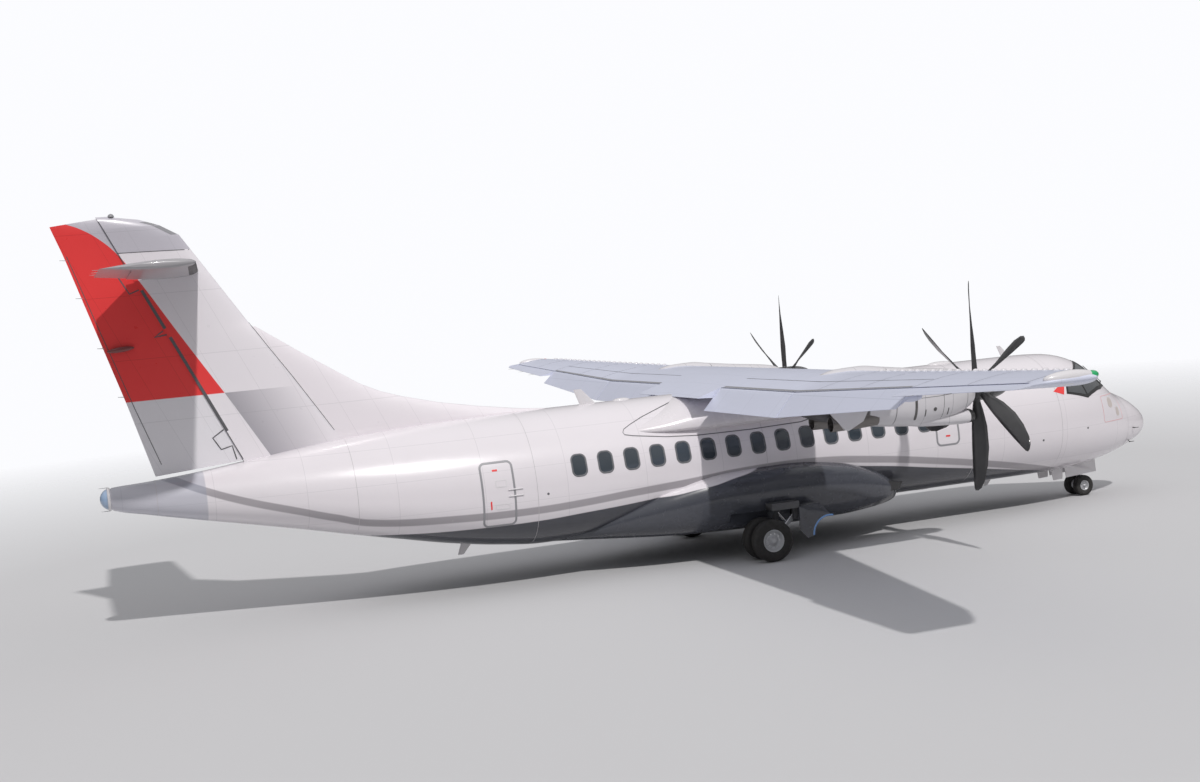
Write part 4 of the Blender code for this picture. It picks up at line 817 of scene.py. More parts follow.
def build_doors():
    """Doors that open, and the outlines of those that stay shut."""
    for node, door in (("passenger_door", PASSENGER_DOOR), ("cargo_door", CARGO_DOOR)):
        place(node + "_skin", skin_patch(node, door, 0.0, 0.0, DOOR_SKIN), "hull", node, node,
              slot="white_paint")
    place("passenger_door_pane", pane(HULL, -4.675, 2.42, (0.20, 0.28), 0.07, 1, 0.002), "glass",
          "passenger_door")
    place("passenger_door_rim", rim(HULL, -4.675, 2.42, (0.20, 0.28), 0.07, 1, RIM_STEPS), "grey",
          "passenger_door")
    for name, body, x, z in (("passenger_door_grip", "passenger_door", -4.45, 2.02),
                             ("cargo_door_grip", "cargo_door", 6.88, 1.42)):
        grip = [rim(HULL, x, z, (0.22, 0.09), 0.03, 1, SEAM_STEPS),
                pane(HULL, x, z, (0.20, 0.07), 0.03, 1, 0.002)]
        place(name, merged(name, grip), "grey", body)

    steps = []
    for k in range(5):
        z = 1.42 + 0.28 * k
        inner = HULL.spot(-4.675, z, 1, -DOOR_SKIN)
        steps.append(rounded_box((-4.95, inner.y - 0.17, z - 0.015), (-4.40, inner.y + 0.01, z + 0.015),
                                 0.005))
    place("airstair_steps", merged("steps", steps), "grey", "passenger_door")

    service = SERVICE_DOOR
    middle = ((service["x0"] + service["x1"]) / 2, (service["z0"] + service["z1"]) / 2)
    size = (service["x1"] - service["x0"], service["z1"] - service["z0"])
    frame_ring = rim(HULL, *middle, size, 0.09, -1, FRAME_STEPS)
    place("service_door_frame", frame_ring, "grey", "airframe", "service_door", slot="white_paint")
    details = [pane(HULL, -4.07, 2.30, (0.10, 0.035), 0.01, -1, 0.003),
               pane(HULL, -4.20, 1.66, (0.03, 0.16), 0.012, -1, 0.003)]
    place("service_door_marks", merged("marks", details), "red", "airframe")
    fittings = [rim(HULL, -3.98, 2.05, (0.20, 0.12), 0.02, -1, SEAM_STEPS),
                rim(HULL, -3.98, 1.62, (0.26, 0.09), 0.03, -1, SEAM_STEPS)]
    for z in (1.80, 1.92):
        start = HULL.spot(-3.86, z, -1, 0.012)
        end = HULL.spot(-3.58, z, -1, 0.012)
        fittings.append(bar(start, end, 0.012))
    place("service_door_fittings", merged("fittings", fittings), "white", "airframe")

    for side, word in ((1, "port"), (-1, "starboard")):
        exit_ring = rim(HULL, 5.50, 2.135, (0.51, 0.91), 0.10, side, FRAME_STEPS)
        place("exit_frame_" + word, exit_ring, "grey", "airframe")
        mark = pane(HULL, 5.50, 1.86, (0.10, 0.035), 0.01, side, 0.003)
        place("exit_mark_" + word, mark, "red", "airframe")


GLAZING_HALF = (         # from the aft edge to the middle: lower x and angle, upper x and angle
    (8.57, 65.5, 8.68, 50.0), (8.86, 67.5, 8.84, 47.0), (9.15, 69.5, 9.00, 43.0),
    (9.43, 62.5, 9.13, 36.0), (9.70, 54.0, 9.25, 28.0), (9.98, 38.0, 9.37, 19.0),
    (10.16, 19.0, 9.45, 9.0), (10.22, 0.0, 9.48, 0.0),
)
GLAZING_MIDDLE = len(GLAZING_HALF) - 1
PANE_SPANS = ((0.14, 1.93), (2.09, 4.45), (4.72, 6.90))


def glazing_spot(s, t, lift):
    """A point of the cockpit glazing: s runs round the nose from starboard, t upward."""
    away = min(s, 2 * GLAZING_MIDDLE - s)
    i = min(int(away), GLAZING_MIDDLE - 1)
    low_x, low_a, up_x, up_a = (a + (b - a) * (away - i)
                                for a, b in zip(GLAZING_HALF[i], GLAZING_HALF[i + 1]))
    side = -1 if s < GLAZING_MIDDLE else 1
    return HULL.lifted(low_x + (up_x - low_x) * t, side * math.radians(low_a + (up_a - low_a) * t), lift)


def glazing_patch(name, s0, s1, t0, t1, lift):
    rings = [[glazing_spot(s, t, lift) for t in spread(t0, t1, 0.06)] for s in spread(s0, s1, 0.1)]
    return loft(name, rings, capped=False, closed=False)


def build_cockpit():
    """Black frame with six panes, wipers and the red flashes behind the side windows."""
    frame_sheet = glazing_patch("frame", 0.0, 2 * GLAZING_MIDDLE, 0.0, 1.0, 0.004)
    place("cockpit_frame", frame_sheet, "black", "airframe", "cockpit_glazing", slot="dark_glass")
    panes = []
    for s0, s1 in PANE_SPANS:
        panes.append(glazing_patch("pane", s0, s1, 0.10, 0.93, 0.012))
        panes.append(glazing_patch("pane", 2 * GLAZING_MIDDLE - s1, 2 * GLAZING_MIDDLE - s0,
                                   0.10, 0.93, 0.012))
    place("cockpit_panes", merged("panes", panes), "canopy", "airframe", slot="dark_glass")
    wipers, flashes = [], []
    for side in (-1, 1):
        foot = glazing_spot(GLAZING_MIDDLE + 0.35 * side, -0.05, 0.03)
        knee = glazing_spot(GLAZING_MIDDLE + 1.5 * side, 0.10, 0.035)
        tip = glazing_spot(GLAZING_MIDDLE + 1.9 * side, 0.70, 0.030)
        wipers += [bar(foot, knee, 0.012, segments=8), bar(knee, tip, 0.008, segments=8),
                   dome(foot, (0.03, 0.03, 0.03), segments=12)]
        flash = ((8.238, 2.478), (8.489, 2.387), (8.585, 2.580), (8.437, 2.581))
        flashes.append(quad_patch(flash, side, 0.003))
    place("wipers", merged("wipers", wipers), "black", "airframe")
    place("cockpit_flashes", merged("flashes", flashes), "red", "airframe")


def half_thickness(share, thick):
    """Symmetric section: half thickness per unit chord at a chord share from the nose."""
    return 5 * thick * (0.2969 * math.sqrt(share) - 0.1260 * share - 0.3516 * share**2
                        + 0.2843 * share**3 - 0.1036 * share**4)


def wing_at(y):
    t = max(0.0, (abs(y) - KINK_Y) / (WING_TIP_Y - KINK_Y))
    return {key: WING_ROOT[key] + (WING_TIP[key] - WING_ROOT[key]) * t for key in WING_ROOT}


def wing_point(y, share, lift):
    wing = wing_at(y)
    drop = (share - 0.25) * wing["chord"] * math.sin(wing["twist"])
    return Vector((wing["le"] - share * wing["chord"], y, wing["z"] - drop + lift))


def wing_camber(y, share):
    return 4 * WING_CAMBER * share * (1 - share) * wing_at(y)["chord"]


def wing_surface(y, share, side, off=0.0):
    wing = wing_at(y)
    lift = wing_camber(y, share) + side * (half_thickness(share, wing["thick"]) * wing["chord"] + off)
    point = wing_point(y, share, lift)
    out = max(0.0, (abs(y) - TIP_RAKE_Y) / (WING_TIP_Y - TIP_RAKE_Y))
    point.x -= TIP_RAKE * out**1.5 * max(0.0, 1 - 2 * share)
    return point


def wing_hinge(y):
    return wing_point(y, HINGE_SHARE, wing_camber(y, HINGE_SHARE))


def spaced(count):
    """Shares from 0 to 1, closer together near 0."""
    return [1 - math.cos(math.pi / 2 * k / count) for k in range(count + 1)]


def wing_ring(y, cove, count=26):
    """Section of the wing: the whole section, or cut at the hinge with a round cove."""
    hinge, wing = wing_hinge(y), wing_at(y)
    radius = half_thickness(HINGE_SHARE, wing["thick"]) * wing["chord"] - LIP
    low_angle = math.radians(-50)
    last, low_last = 1.0, 1.0
    if cove:
        last = HINGE_SHARE
        low_last = HINGE_SHARE - radius * math.cos(low_angle) / wing["chord"]
    ring = [wing_surface(y, s * last, 1) for s in reversed(spaced(count))]
    ring += [wing_surface(y, s * low_last, -1) for s in spaced(count)[1:]]
    if cove:
        for k in range(13):
            angle = low_angle + (math.pi / 2 - low_angle) * k / 12
            ring.append(hinge + Vector((radius * math.cos(angle), 0, radius * math.sin(angle))))
    else:
        ring[0].z += 0.003
        ring[-1].z -= 0.003
    return ring


def control_ring(hinge, half, tail, tail_drop, straights=8):
    """A flap-like section: a round nose about the hinge and straight sides to a thin tail."""
    radius = half - LIP - COVE_GAP
    nose = [Vector((radius * math.cos(a), 0, radius * math.sin(a)))
            for a in (math.radians(100 - 200 * k / 24) for k in range(25))]
    low, high = Vector((-tail, 0, tail_drop - 0.003)), Vector((-tail, 0, tail_drop + 0.003))
    ring = nose + [nose[-1].lerp(low, k / straights) for k in range(1, straights + 1)]
    ring += [high.lerp(nose[0], k / straights) for k in range(straights)]
    return [hinge + point for point in ring]


def wing_control_ring(y):
    wing = wing_at(y)
    half = half_thickness(HINGE_SHARE, wing["thick"]) * wing["chord"]
    tail = (1 - HINGE_SHARE) * wing["chord"]
    drop = -wing_camber(y, HINGE_SHARE) - tail * math.sin(wing["twist"])
    return control_ring(wing_hinge(y), half, tail, drop)


def mirrored(ring, side):
    return [Vector((p.x, p.y * side, p.z)) for p in ring]


def turned_about(ring, start, axis, angle):
    turn = Quaternion(axis, angle)
    return [start + turn @ (point - start) for point in ring]


def wing_skin_spot(side, up, lift):
    """Put a spot given as (y from the middle, chord share) on the wing's upper or lower skin."""
    def spot(y, share):
        point = wing_surface(y, share, up, lift)
        return Vector((point.x, point.y * side, point.z))
    return spot


def wing_tip_ring(share, start):
    y = start + (WING_TIP_Y - start) * share
    shrink = math.sqrt(1 - (0.985 * share) ** 2)
    middle = wing_point(y, 0.45, wing_camber(y, 0.45))
    ring = []
    for point in wing_ring(y, cove=False):
        x = middle.x + (point.x - middle.x) * (0.80 + 0.20 * shrink)
        ring.append(Vector((x, y, middle.z + (point.z - middle.z) * shrink)))
    return ring


def build_wing():
    """Centre piece, wings, tips, flaps and ailerons, finer than the solids but of their form."""
    rings = [wing_ring(y, cove=False) for y in spread(-CENTRE_Y, CENTRE_Y, WING_STEP)]
    place("skin_wing_centre", loft("wing_centre", rings), "wing", "airframe", "wing_centre",
          slot="wing_paint")
    tip_start = AILERON_END_Y + 0.0203
    for side, word in ((1, "left"), (-1, "right")):
        stations = spread(CENTRE_Y + 0.0003, KINK_Y, WING_STEP)
        stations += spread(KINK_Y, AILERON_END_Y + 0.02, WING_STEP)[1:]
        rings = [mirrored(wing_ring(y, cove=True), side) for y in stations]
        place("skin_wing_" + word, loft("wing", rings), "wing", "airframe", "wing_" + word,
              slot="wing_paint")
        shares = (0.0, 0.12, 0.25, 0.38, 0.50, 0.62, 0.73, 0.82, 0.89, 0.945, 0.98, 1.0)
        rings = [mirrored(wing_tip_ring(share, tip_start), side) for share in shares]
        place("skin_wing_tip_" + word, loft("tip", rings), "wing", "airframe", "wing_tip_" + word,
              slot="wing_paint", smooth=60)
        surfaces = (     # name, inner y, outer y, rest angle
            ("flap_inner_", CENTRE_Y + 0.02, KINK_Y - END_GAP, FLAP_REST),
            ("flap_outer_", KINK_Y + END_GAP, FLAP_END_Y, FLAP_REST),
            ("aileron_", FLAP_END_Y + 0.03, AILERON_END_Y, 0.0),
        )
        for name, y0, y1, rest in surfaces:
            start, end = (mirrored([wing_hinge(y)], side)[0] for y in (y0, y1))
            axis = (end - start).normalized() * side
            rings = [turned_about(mirrored(wing_control_ring(y), side), start, axis, -rest)
                     for y in spread(y0, y1, 0.3)]
            place("skin_" + name + word, loft(name, rings), "wing", name + word, name + word,
                  slot="wing_paint")
        build_wing_fittings(side, word)


def build_wing_fittings(side, word):
    """De-icing boots, a row of small white domes, hinge fairings, tip lamp and panel lines."""
    boots = []
    for y0, y1 in ((1.75, 2.58), (2.62, 3.46), (4.66, 6.40), (6.44, 8.20), (8.24, 10.10), (10.14, 11.95)):
        rings = []
        for y in spread(y0, y1, WING_STEP):
            ring = [wing_surface(y, s, 1, 0.003) for s in (0.075, 0.05, 0.03, 0.015, 0.006, 0.002)]
            ring += [wing_surface(y, s, -1, 0.003) for s in (0.002, 0.006, 0.015, 0.03, 0.05, 0.075)]
            for point in ring:
                point.x += 0.003
            rings.append(mirrored(ring, side))
        boots.append(loft("boot", rings, capped=False, closed=False))
    place("wing_boots_" + word, merged("boots", boots), "boot", "airframe")

    # A row of small white domes on the upper skin, a fifth of the chord behind the leading edge.
    white_dots = []
    for k in range(22):
        y = 5.20 + 0.30 * k
        spot = mirrored([wing_surface(y, 0.20, 1, 0.0)], side)[0]
        white_dots.append(dome(spot, (0.055, 0.030, 0.032), segments=12))
    place("wing_white_dots_" + word, merged("white_dots", white_dots), "white", "airframe")

    canoes = []
    for y in (2.55, 6.15, 8.35):
        nose, tail = wing_surface(y, 0.56, -1), wing_surface(y, 0.77, -1)
        middle = mirrored([(nose + tail) / 2 + Vector((0, 0, -0.02))], side)[0]
        canoes.append(dome(middle, (0.045, 0.075, (nose - tail).length / 2), (nose - tail), segments=24))
    place("flap_hinge_fairings_" + word, merged("canoes", canoes), "wing", "airframe")

    lines = []
    upper, lower = wing_skin_spot(side, 1, 0.002), wing_skin_spot(side, -1, 0.002)
    for y in (5.60, 7.15, 8.95, 10.45, 11.90):
        for skin in (upper, lower):
            lines.append(strip([(y, 0.09), (y, 0.79)], 0.012, skin))
    for spots, skin in (([(1.7, 0.16), (11.95, 0.16)], upper), ([(1.7, 0.60), (8.9, 0.60)], upper),
                        ([(1.7, 0.16), (11.95, 0.16)], lower), ([(1.7, 0.60), (11.95, 0.60)], lower)):
        lines.append(strip(spots, 0.006, skin, 0.4))
    gap = strip([(1.70, 0.786), (8.90, 0.786)], 0.026, upper, 0.4)
    place("flap_gap_" + word, gap, "grey", "airframe")
    place("wing_seams_" + word, merged("lines", lines), "seam", "airframe")

    lamp = "green_lamp" if side < 0 else "red_lamp"
    place("tip_lamp_" + word, dome((1.13, side * 12.190, 3.735), (0.060, 0.060, 0.10), (1, 0, 0)),
          lamp, "airframe")
    place("tip_pod_" + word, dome((0.80, side * 12.185, 3.735), (0.095, 0.095, 0.40), (1, 0, 0)),
          "white", "airframe")
    wicks = []
    for y in (9.6, 10.6, 11.6):
        tail = mirrored([wing_surface(y, 1.0, 1)], side)[0]
        wicks.append(bar(tail + Vector((0.02, 0, 0)), tail + Vector((-0.14, 0, 0)), 0.005, 0.002, 8))
    place("aileron_wicks_" + word, merged("wicks", wicks), "grey", "aileron_" + word)


def build_saddle():
    """The smooth fairing between wing and fuselage, with the seam round its foot."""
    rings = []
    for x in spread(SADDLE_STATIONS[0][0], SADDLE_STATIONS[-1][0], 0.12):
        half, ridge, low = blend(SADDLE_STATIONS, x)
        shoulder, share = low + 0.22 * (ridge - low), 2 / SADDLE_POWER
        ring = []
        for k in range(64):
            angle = 2 * math.pi * k / 64
            side, up = math.sin(angle), math.cos(angle)
            reach = ridge - shoulder if up > 0 else shoulder - low
            ring.append(Vector((x, half * math.copysign(abs(side) ** share, side),
                                shoulder + reach * math.copysign(abs(up) ** share, up))))
        rings.append(ring)
    place("skin_wing_body_fairing", loft("saddle", rings), "saddle", "airframe", "wing_body_fairing",
          slot="white_paint", smooth=60)
    seams = []
    for side in (1, -1):
        seams += [hull_strip(SADDLE_SEAM, 0.016, side), hull_strip(SADDLE_LOOP, 0.012, side)]
    place("saddle_seams", merged("seams", seams), "seam", "airframe")


def table_at(table, key):
    for (k0, v0), (k1, v1) in zip(table, table[1:]):
        if key <= k1:
            return v0 + (v1 - v0) * (key - k0) / (k1 - k0)
    return table[-1][1]


def hinge_x(z):
    return -8.74 - 0.46 * (z - 3.55)


def trailing_x(z):
    return -11.335 - 0.292 * (z - 7.42)


def fin_half(x, z):
    """Half thickness of fin and dorsal fin at a point of their outline."""
    front, rear = table_at(FIN_LEADING, z), trailing_x(z)
    share = min(1.0, max(0.0, (front - x) / (front - rear)))
    fade = 1.0 - 0.30 * (z - 3.0) / (FIN_TOP_Z - 3.0)
    close = min(1.0, math.sqrt(max(0.0, (FIN_TOP_Z + 0.02 - z) / 0.22)))
    return FIN_HALF_THICKNESS * fade * close * half_thickness(share, 1.0) * 2


def fin_split_x(z):
    return table_at(FIN_LEADING, z) if z >= 5.44 else -8.10 + 0.63 * (5.44 - z)


def rudder_nose(z):
    return fin_half(hinge_x(z), z) - LIP - RUDDER_GAP


def rudder_half(x, z):
    """Half thickness of the rudder between its hinge and its thin trailing edge."""
    share = (x - trailing_x(z)) / (hinge_x(z) - trailing_x(z))
    return 0.004 + (rudder_nose(z) - 0.004) * min(1.0, max(0.0, share))


def fin_ring(z, front, cove, count=16):
    rear = hinge_x(z) if cove else fin_split_x(z) + 0.0003
    xs = [front + (rear - front) * s for s in spaced(count)]
    ring = [Vector((x, fin_half(x, z), z)) for x in xs]
    if cove:
        radius = max(0.002, fin_half(rear, z) - LIP)
        for k in range(13):
            angle = math.radians(90 - 15 * k)
            ring.append(Vector((rear + radius * math.cos(angle), radius * math.sin(angle), z)))
    return ring + [Vector((x, -fin_half(x, z), z)) for x in reversed(xs)]


def rudder_ring(base, slope):
    radius, hinge, rear = rudder_nose(base), hinge_x(base), trailing_x(base)
    nose = [(hinge + radius * math.cos(a), radius * math.sin(a))
            for a in (math.radians(100 - 200 * k / 16) for k in range(17))]
    low, high = (rear, -0.004), (rear, 0.004)
    ring = list(nose)
    for start, end in ((nose[-1], low), (high, nose[0])):
        ring += [(start[0] + (end[0] - start[0]) * k / 8, start[1] + (end[1] - start[1]) * k / 8)
                 for k in range(1, 9)]
    return [Vector((x, y, base + slope * (x - hinge))) for x, y in ring]


def build_fin():
    """Dorsal fin, fin, cap and rudder with its hinge line, tab and tab fairings."""
    levels = [row[0] for row in FIN_LEADING]
    dorsal = sorted({*[z for z in levels if z <= 5.30], *spread(2.60, 5.36, 0.12)})
    rings = [fin_ring(z, table_at(FIN_LEADING, z), False) for z in dorsal]
    place("skin_dorsal_fin", loft("dorsal_fin", rings), "dorsal", "airframe", "dorsal_fin",
          slot="white_paint", smooth=60)
    main = sorted({*spread(2.60, FIN_SPLIT_Z - 0.0003, 0.15), 5.44})
    rings = [fin_ring(z, fin_split_x(z), True) for z in main]
    place("skin_fin", loft("fin", rings), "fin", "airframe", "fin", slot="white_paint", smooth=60)
    cap = sorted({*spread(FIN_SPLIT_Z, 7.40, 0.1), *[z for z in levels if z > 7.0],
                  7.48, 7.50, 7.53, 7.537})
    rings = [fin_ring(z, fin_split_x(z), True) for z in cap]
    place("skin_fin_cap", loft("fin_cap", rings), "fin", "airframe", "fin_cap", slot="white_paint",
          smooth=60)

    rings = []
    top_slope = (RUDDER_TOP_Z - 7.42) / (hinge_x(RUDDER_TOP_Z) - trailing_x(RUDDER_TOP_Z))
    slopes = ((RUDDER_FOOT_Z, 0.075), (4.20, 0.0), (6.90, 0.0), (RUDDER_TOP_Z, top_slope))
    for z in [*spread(RUDDER_FOOT_Z, 7.30, 0.18), 7.36, 7.42, 7.47, RUDDER_TOP_Z]:
        rings.append(rudder_ring(z, table_at(slopes, z)))
    place("skin_rudder", loft("rudder", rings), "rudder", "rudder", "rudder", slot="red_paint")

    on_fin, on_rudder = [], []
    for side in (1, -1):
        def fin_spot(x, z):
            return Vector((x, side * (fin_half(x, z) + 0.003), z))

        def rudder_spot(x, z):
            return Vector((x, side * (rudder_half(x, z) + 0.004), z))

        for z0, z1, width in ((3.50, 5.30, 0.055), (5.46, 6.18, 0.055), (2.95, 3.50, 0.016),
                              (6.50, 7.45, 0.012)):
            shift = width / 2
            on_fin.append(strip([(hinge_x(z0) + shift, z0), (hinge_x(z1) + shift, z1)], width, fin_spot))
        on_fin.append(strip([(-10.28, 6.87), (-9.02, 6.85)], 0.012, fin_spot))
        on_fin.append(strip([(-8.10, 5.44), (-7.80, 4.96), (-7.42, 4.38), (-6.75, 3.30)], 0.010, fin_spot))
        steps = (
            [(-10.307, 6.456), (-10.136, 6.131), (-9.97, 6.19)],
            [(-9.63, 5.42), (-9.789, 5.32), (-9.57, 5.35)],
            [(-8.75, 3.53), (-8.957, 3.396), (-8.825, 3.169), (-8.626, 3.218), (-8.569, 2.96)],
        )
        for spots in steps:
            on_rudder.append(strip(spots, 0.022, rudder_spot))
        tab = [(-11.13, 6.88), (-11.058, 6.653), (-10.675, 5.403), (-10.255, 4.073), (-9.90, 3.02)]
        on_rudder.append(strip(tab, 0.012, rudder_spot))
    place("fin_gaps", merged("gaps", on_fin), "seam", "airframe")
    place("rudder_gaps", merged("gaps", on_rudder), "seam", "rudder")

    horns = [dome((-10.39, side * 0.075, 5.155), (0.045, 0.05, 0.24), (1, 0, 0.08)) for side in (1, -1)]
    place("rudder_tab_fairings", merged("horns", horns), "dark_red", "rudder")
    wicks = []
    for z in (7.09, 6.81, 6.12, 5.2, 4.3):
        rear = trailing_x(z)
        reach = 0.01 if z > 6.9 else 0.10
        wicks.append(bar((rear + 0.10, 0.0, z - 0.005), (rear - reach, 0.0, z + 0.01), 0.008, 0.004, 8))
    place("rudder_wicks", merged("wicks", wicks), "grey", "rudder")
    patches = []
    for side in (1, -1):
        rows = []
        for z in spread(7.14, 7.40, 0.03):
            front = table_at(FIN_LEADING, z)
            rows.append([Vector((front - back, side * (fin_half(front - back, z) + 0.003), z))
                         for back in (0.004, 0.015, 0.04, 0.08, 0.13)])
        patches.append(loft("boot", rows, capped=False, closed=False))
    place("fin_cap_boot", merged("boot", patches), "grey", "airframe")
    beacon = [(0.0, 0.0), (0.056, 0.0), (0.056, 0.015), (0.048, 0.036), (0.030, 0.055), (0.0, 0.066)]
    place("beacon_lens", turned(beacon, (-10.31, 0.0, 7.5203), (0, 0, 1), 24, closed=False),
          "grey", "airframe", "beacon", slot="lamp_red")


def tail_at(y):
    t = abs(y) / TAILPLANE_TIP_Y
    return {key: TAIL_ROOT[key] + (TAIL_TIP[key] - TAIL_ROOT[key]) * t for key in TAIL_ROOT}


def tail_half(x, y):
    tail = tail_at(y)
    chord = tail["le"] - tail["te"]
    return half_thickness((tail["le"] - x) / chord, TAIL_THICK) * chord


def tail_ring(y, rear, cove, scale=1.0, count=20):
    """Section of the tailplane back to a rear line, which a round cove may follow."""
    tail = tail_at(y)
    xs = [tail["le"] + (rear - tail["le"]) * s for s in spaced(count)]
    ring = [Vector((x, y, TAIL_Z + tail_half(x, y))) for x in reversed(xs)]
    ring += [Vector((x, y, TAIL_Z - tail_half(x, y))) for x in xs[1:]]
    if cove:
        radius = tail_half(rear, y) - LIP
        for k in range(9):
            angle = math.radians(-90 + 22.5 * k)
            ring.append(Vector((rear + radius * math.cos(angle), y, TAIL_Z + radius * math.sin(angle))))
    else:
        ring[0].z += 0.003
        ring[-1].z -= 0.003
    middle = tail["le"] - 0.7
    return [Vector((middle + (p.x - middle) * (0.4 + 0.6 * scale), y, TAIL_Z + (p.z - TAIL_Z) * scale))
            for p in ring]


def build_tailplane():
    notch = TAIL_NOTCH
    join = ELEVATOR_END_Y + END_GAP
    rings = [tail_ring(y, notch["x"], False) for y in (-notch["half"], 0.0, notch["half"])]
    pieces = [loft("tail_middle", rings)]
    for side in (1, -1):
        rings = [mirrored(tail_ring(y, ELEVATOR_HINGE_X, True), side)
                 for y in spread(notch["half"], join, 0.25)]
        pieces.append(loft("tail_half", rings))
        tips = ((join, 1.0), (join + 0.03, 0.985), (join + 0.06, 0.94), (join + 0.09, 0.86),
                (join + 0.115, 0.74), (join + 0.13, 0.58), (TAILPLANE_TIP_Y, 0.35))
        rings = [mirrored(tail_ring(y, tail_at(y)["te"], False, s), side) for y, s in tips]
        pieces.append(loft("tail_tip", rings))
    place("skin_tailplane", merged("tailplane", pieces), "tail", "airframe", "tailplane",
          slot="wing_paint")

    for side, word in ((1, "left"), (-1, "right")):
        rings = []
        for y in spread(ELEVATOR_ROOT_Y, ELEVATOR_END_Y, 0.25):
            flare = ELEVATOR_ROOT_FLARE * (ELEVATOR_END_Y - y) / (ELEVATOR_END_Y - ELEVATOR_ROOT_Y)
            hinge = Vector((ELEVATOR_HINGE_X, y, TAIL_Z))
            tail = ELEVATOR_HINGE_X - tail_at(y)["te"]
            ring = control_ring(hinge, tail_half(ELEVATOR_HINGE_X, y), tail, 0.0)
            rings.append(mirrored([Vector((p.x, p.y + flare * max(0.0, hinge.x - p.x), p.z))
                                   for p in ring], side))
        body = "elevator_" + word
        place("skin_" + body, loft("elevator", rings), "tail", body, body, slot="wing_paint")
        wicks = []
        for y in (1.6, 2.4, 3.2):
            rear = tail_at(y)["te"]
            wicks.append(bar((rear + 0.03, side * y, TAIL_Z), (rear - 0.10, side * y, TAIL_Z),
                             0.005, 0.002, 8))
        place("elevator_wicks_" + word, merged("wicks", wicks), "grey", body)

        boots = []
        for y0, y1 in ((0.32, 1.9), (1.93, 3.46)):
            rings = []
            for y in spread(y0, y1, 0.25):
                tail = tail_at(y)
                chord = tail["le"] - tail["te"]
                shares = (0.09, 0.06, 0.035, 0.016, 0.006, 0.0015)
                spots = [(s, 1) for s in shares] + [(s, -1) for s in reversed(shares)]
                rings.append([Vector((tail["le"] - s * chord + 0.003, y * side,
                                      TAIL_Z + up * (half_thickness(s, TAIL_THICK) * chord + 0.003)))
                              for s, up in spots])
            boots.append(loft("boot", rings, capped=False, closed=False))
        place("tail_boots_" + word, merged("boots", boots), "boot", "airframe")


def build_tail_end():
    """Ring, lamp and wicks at the end of the tail cone."""
    ring = [(0.196, 0.0), (0.214, 0.01), (0.208, 0.05), (0.190, 0.055)]
    place("tail_ring", turned(ring, (-10.890, 0.0, 2.506), (1, 0, 0), 40), "white", "airframe")
    lens = [(0.0, -0.125), (0.05, -0.120), (0.10, -0.100), (0.145, -0.065), (0.175, -0.025), (0.190, 0.02)]
    place("tail_lamp", turned(lens, (-10.895, 0.0, 2.506), (1, 0, 0), 40, closed=False),
          "clear_lamp", "airframe")
    wicks = [bar((-10.86, 0.0, z), (-11.02, 0.0, z), 0.006, 0.003, 8) for z in (2.715, 2.295)]
    place("tail_wicks", merged("wicks", wicks), "grey", "airframe")


def exhaust(start, end):
    """An open oval duct between two points, its bore ending well inside."""
    along = (start - end).normalized()
    rings = []
    for middle, radius in ((start, 0.165), (start.lerp(end, 0.5), 0.165), (end, 0.140),
                           (end - along * 0.006, 0.133), (end, 0.126), (end + along * 0.45, 0.110)):
        rings.append([middle + Vector((0.0, 0.86 * radius * math.cos(a), radius * math.sin(a)))
                      for a in (2 * math.pi * k / 40 for k in range(40))])
    return loft("duct", rings)


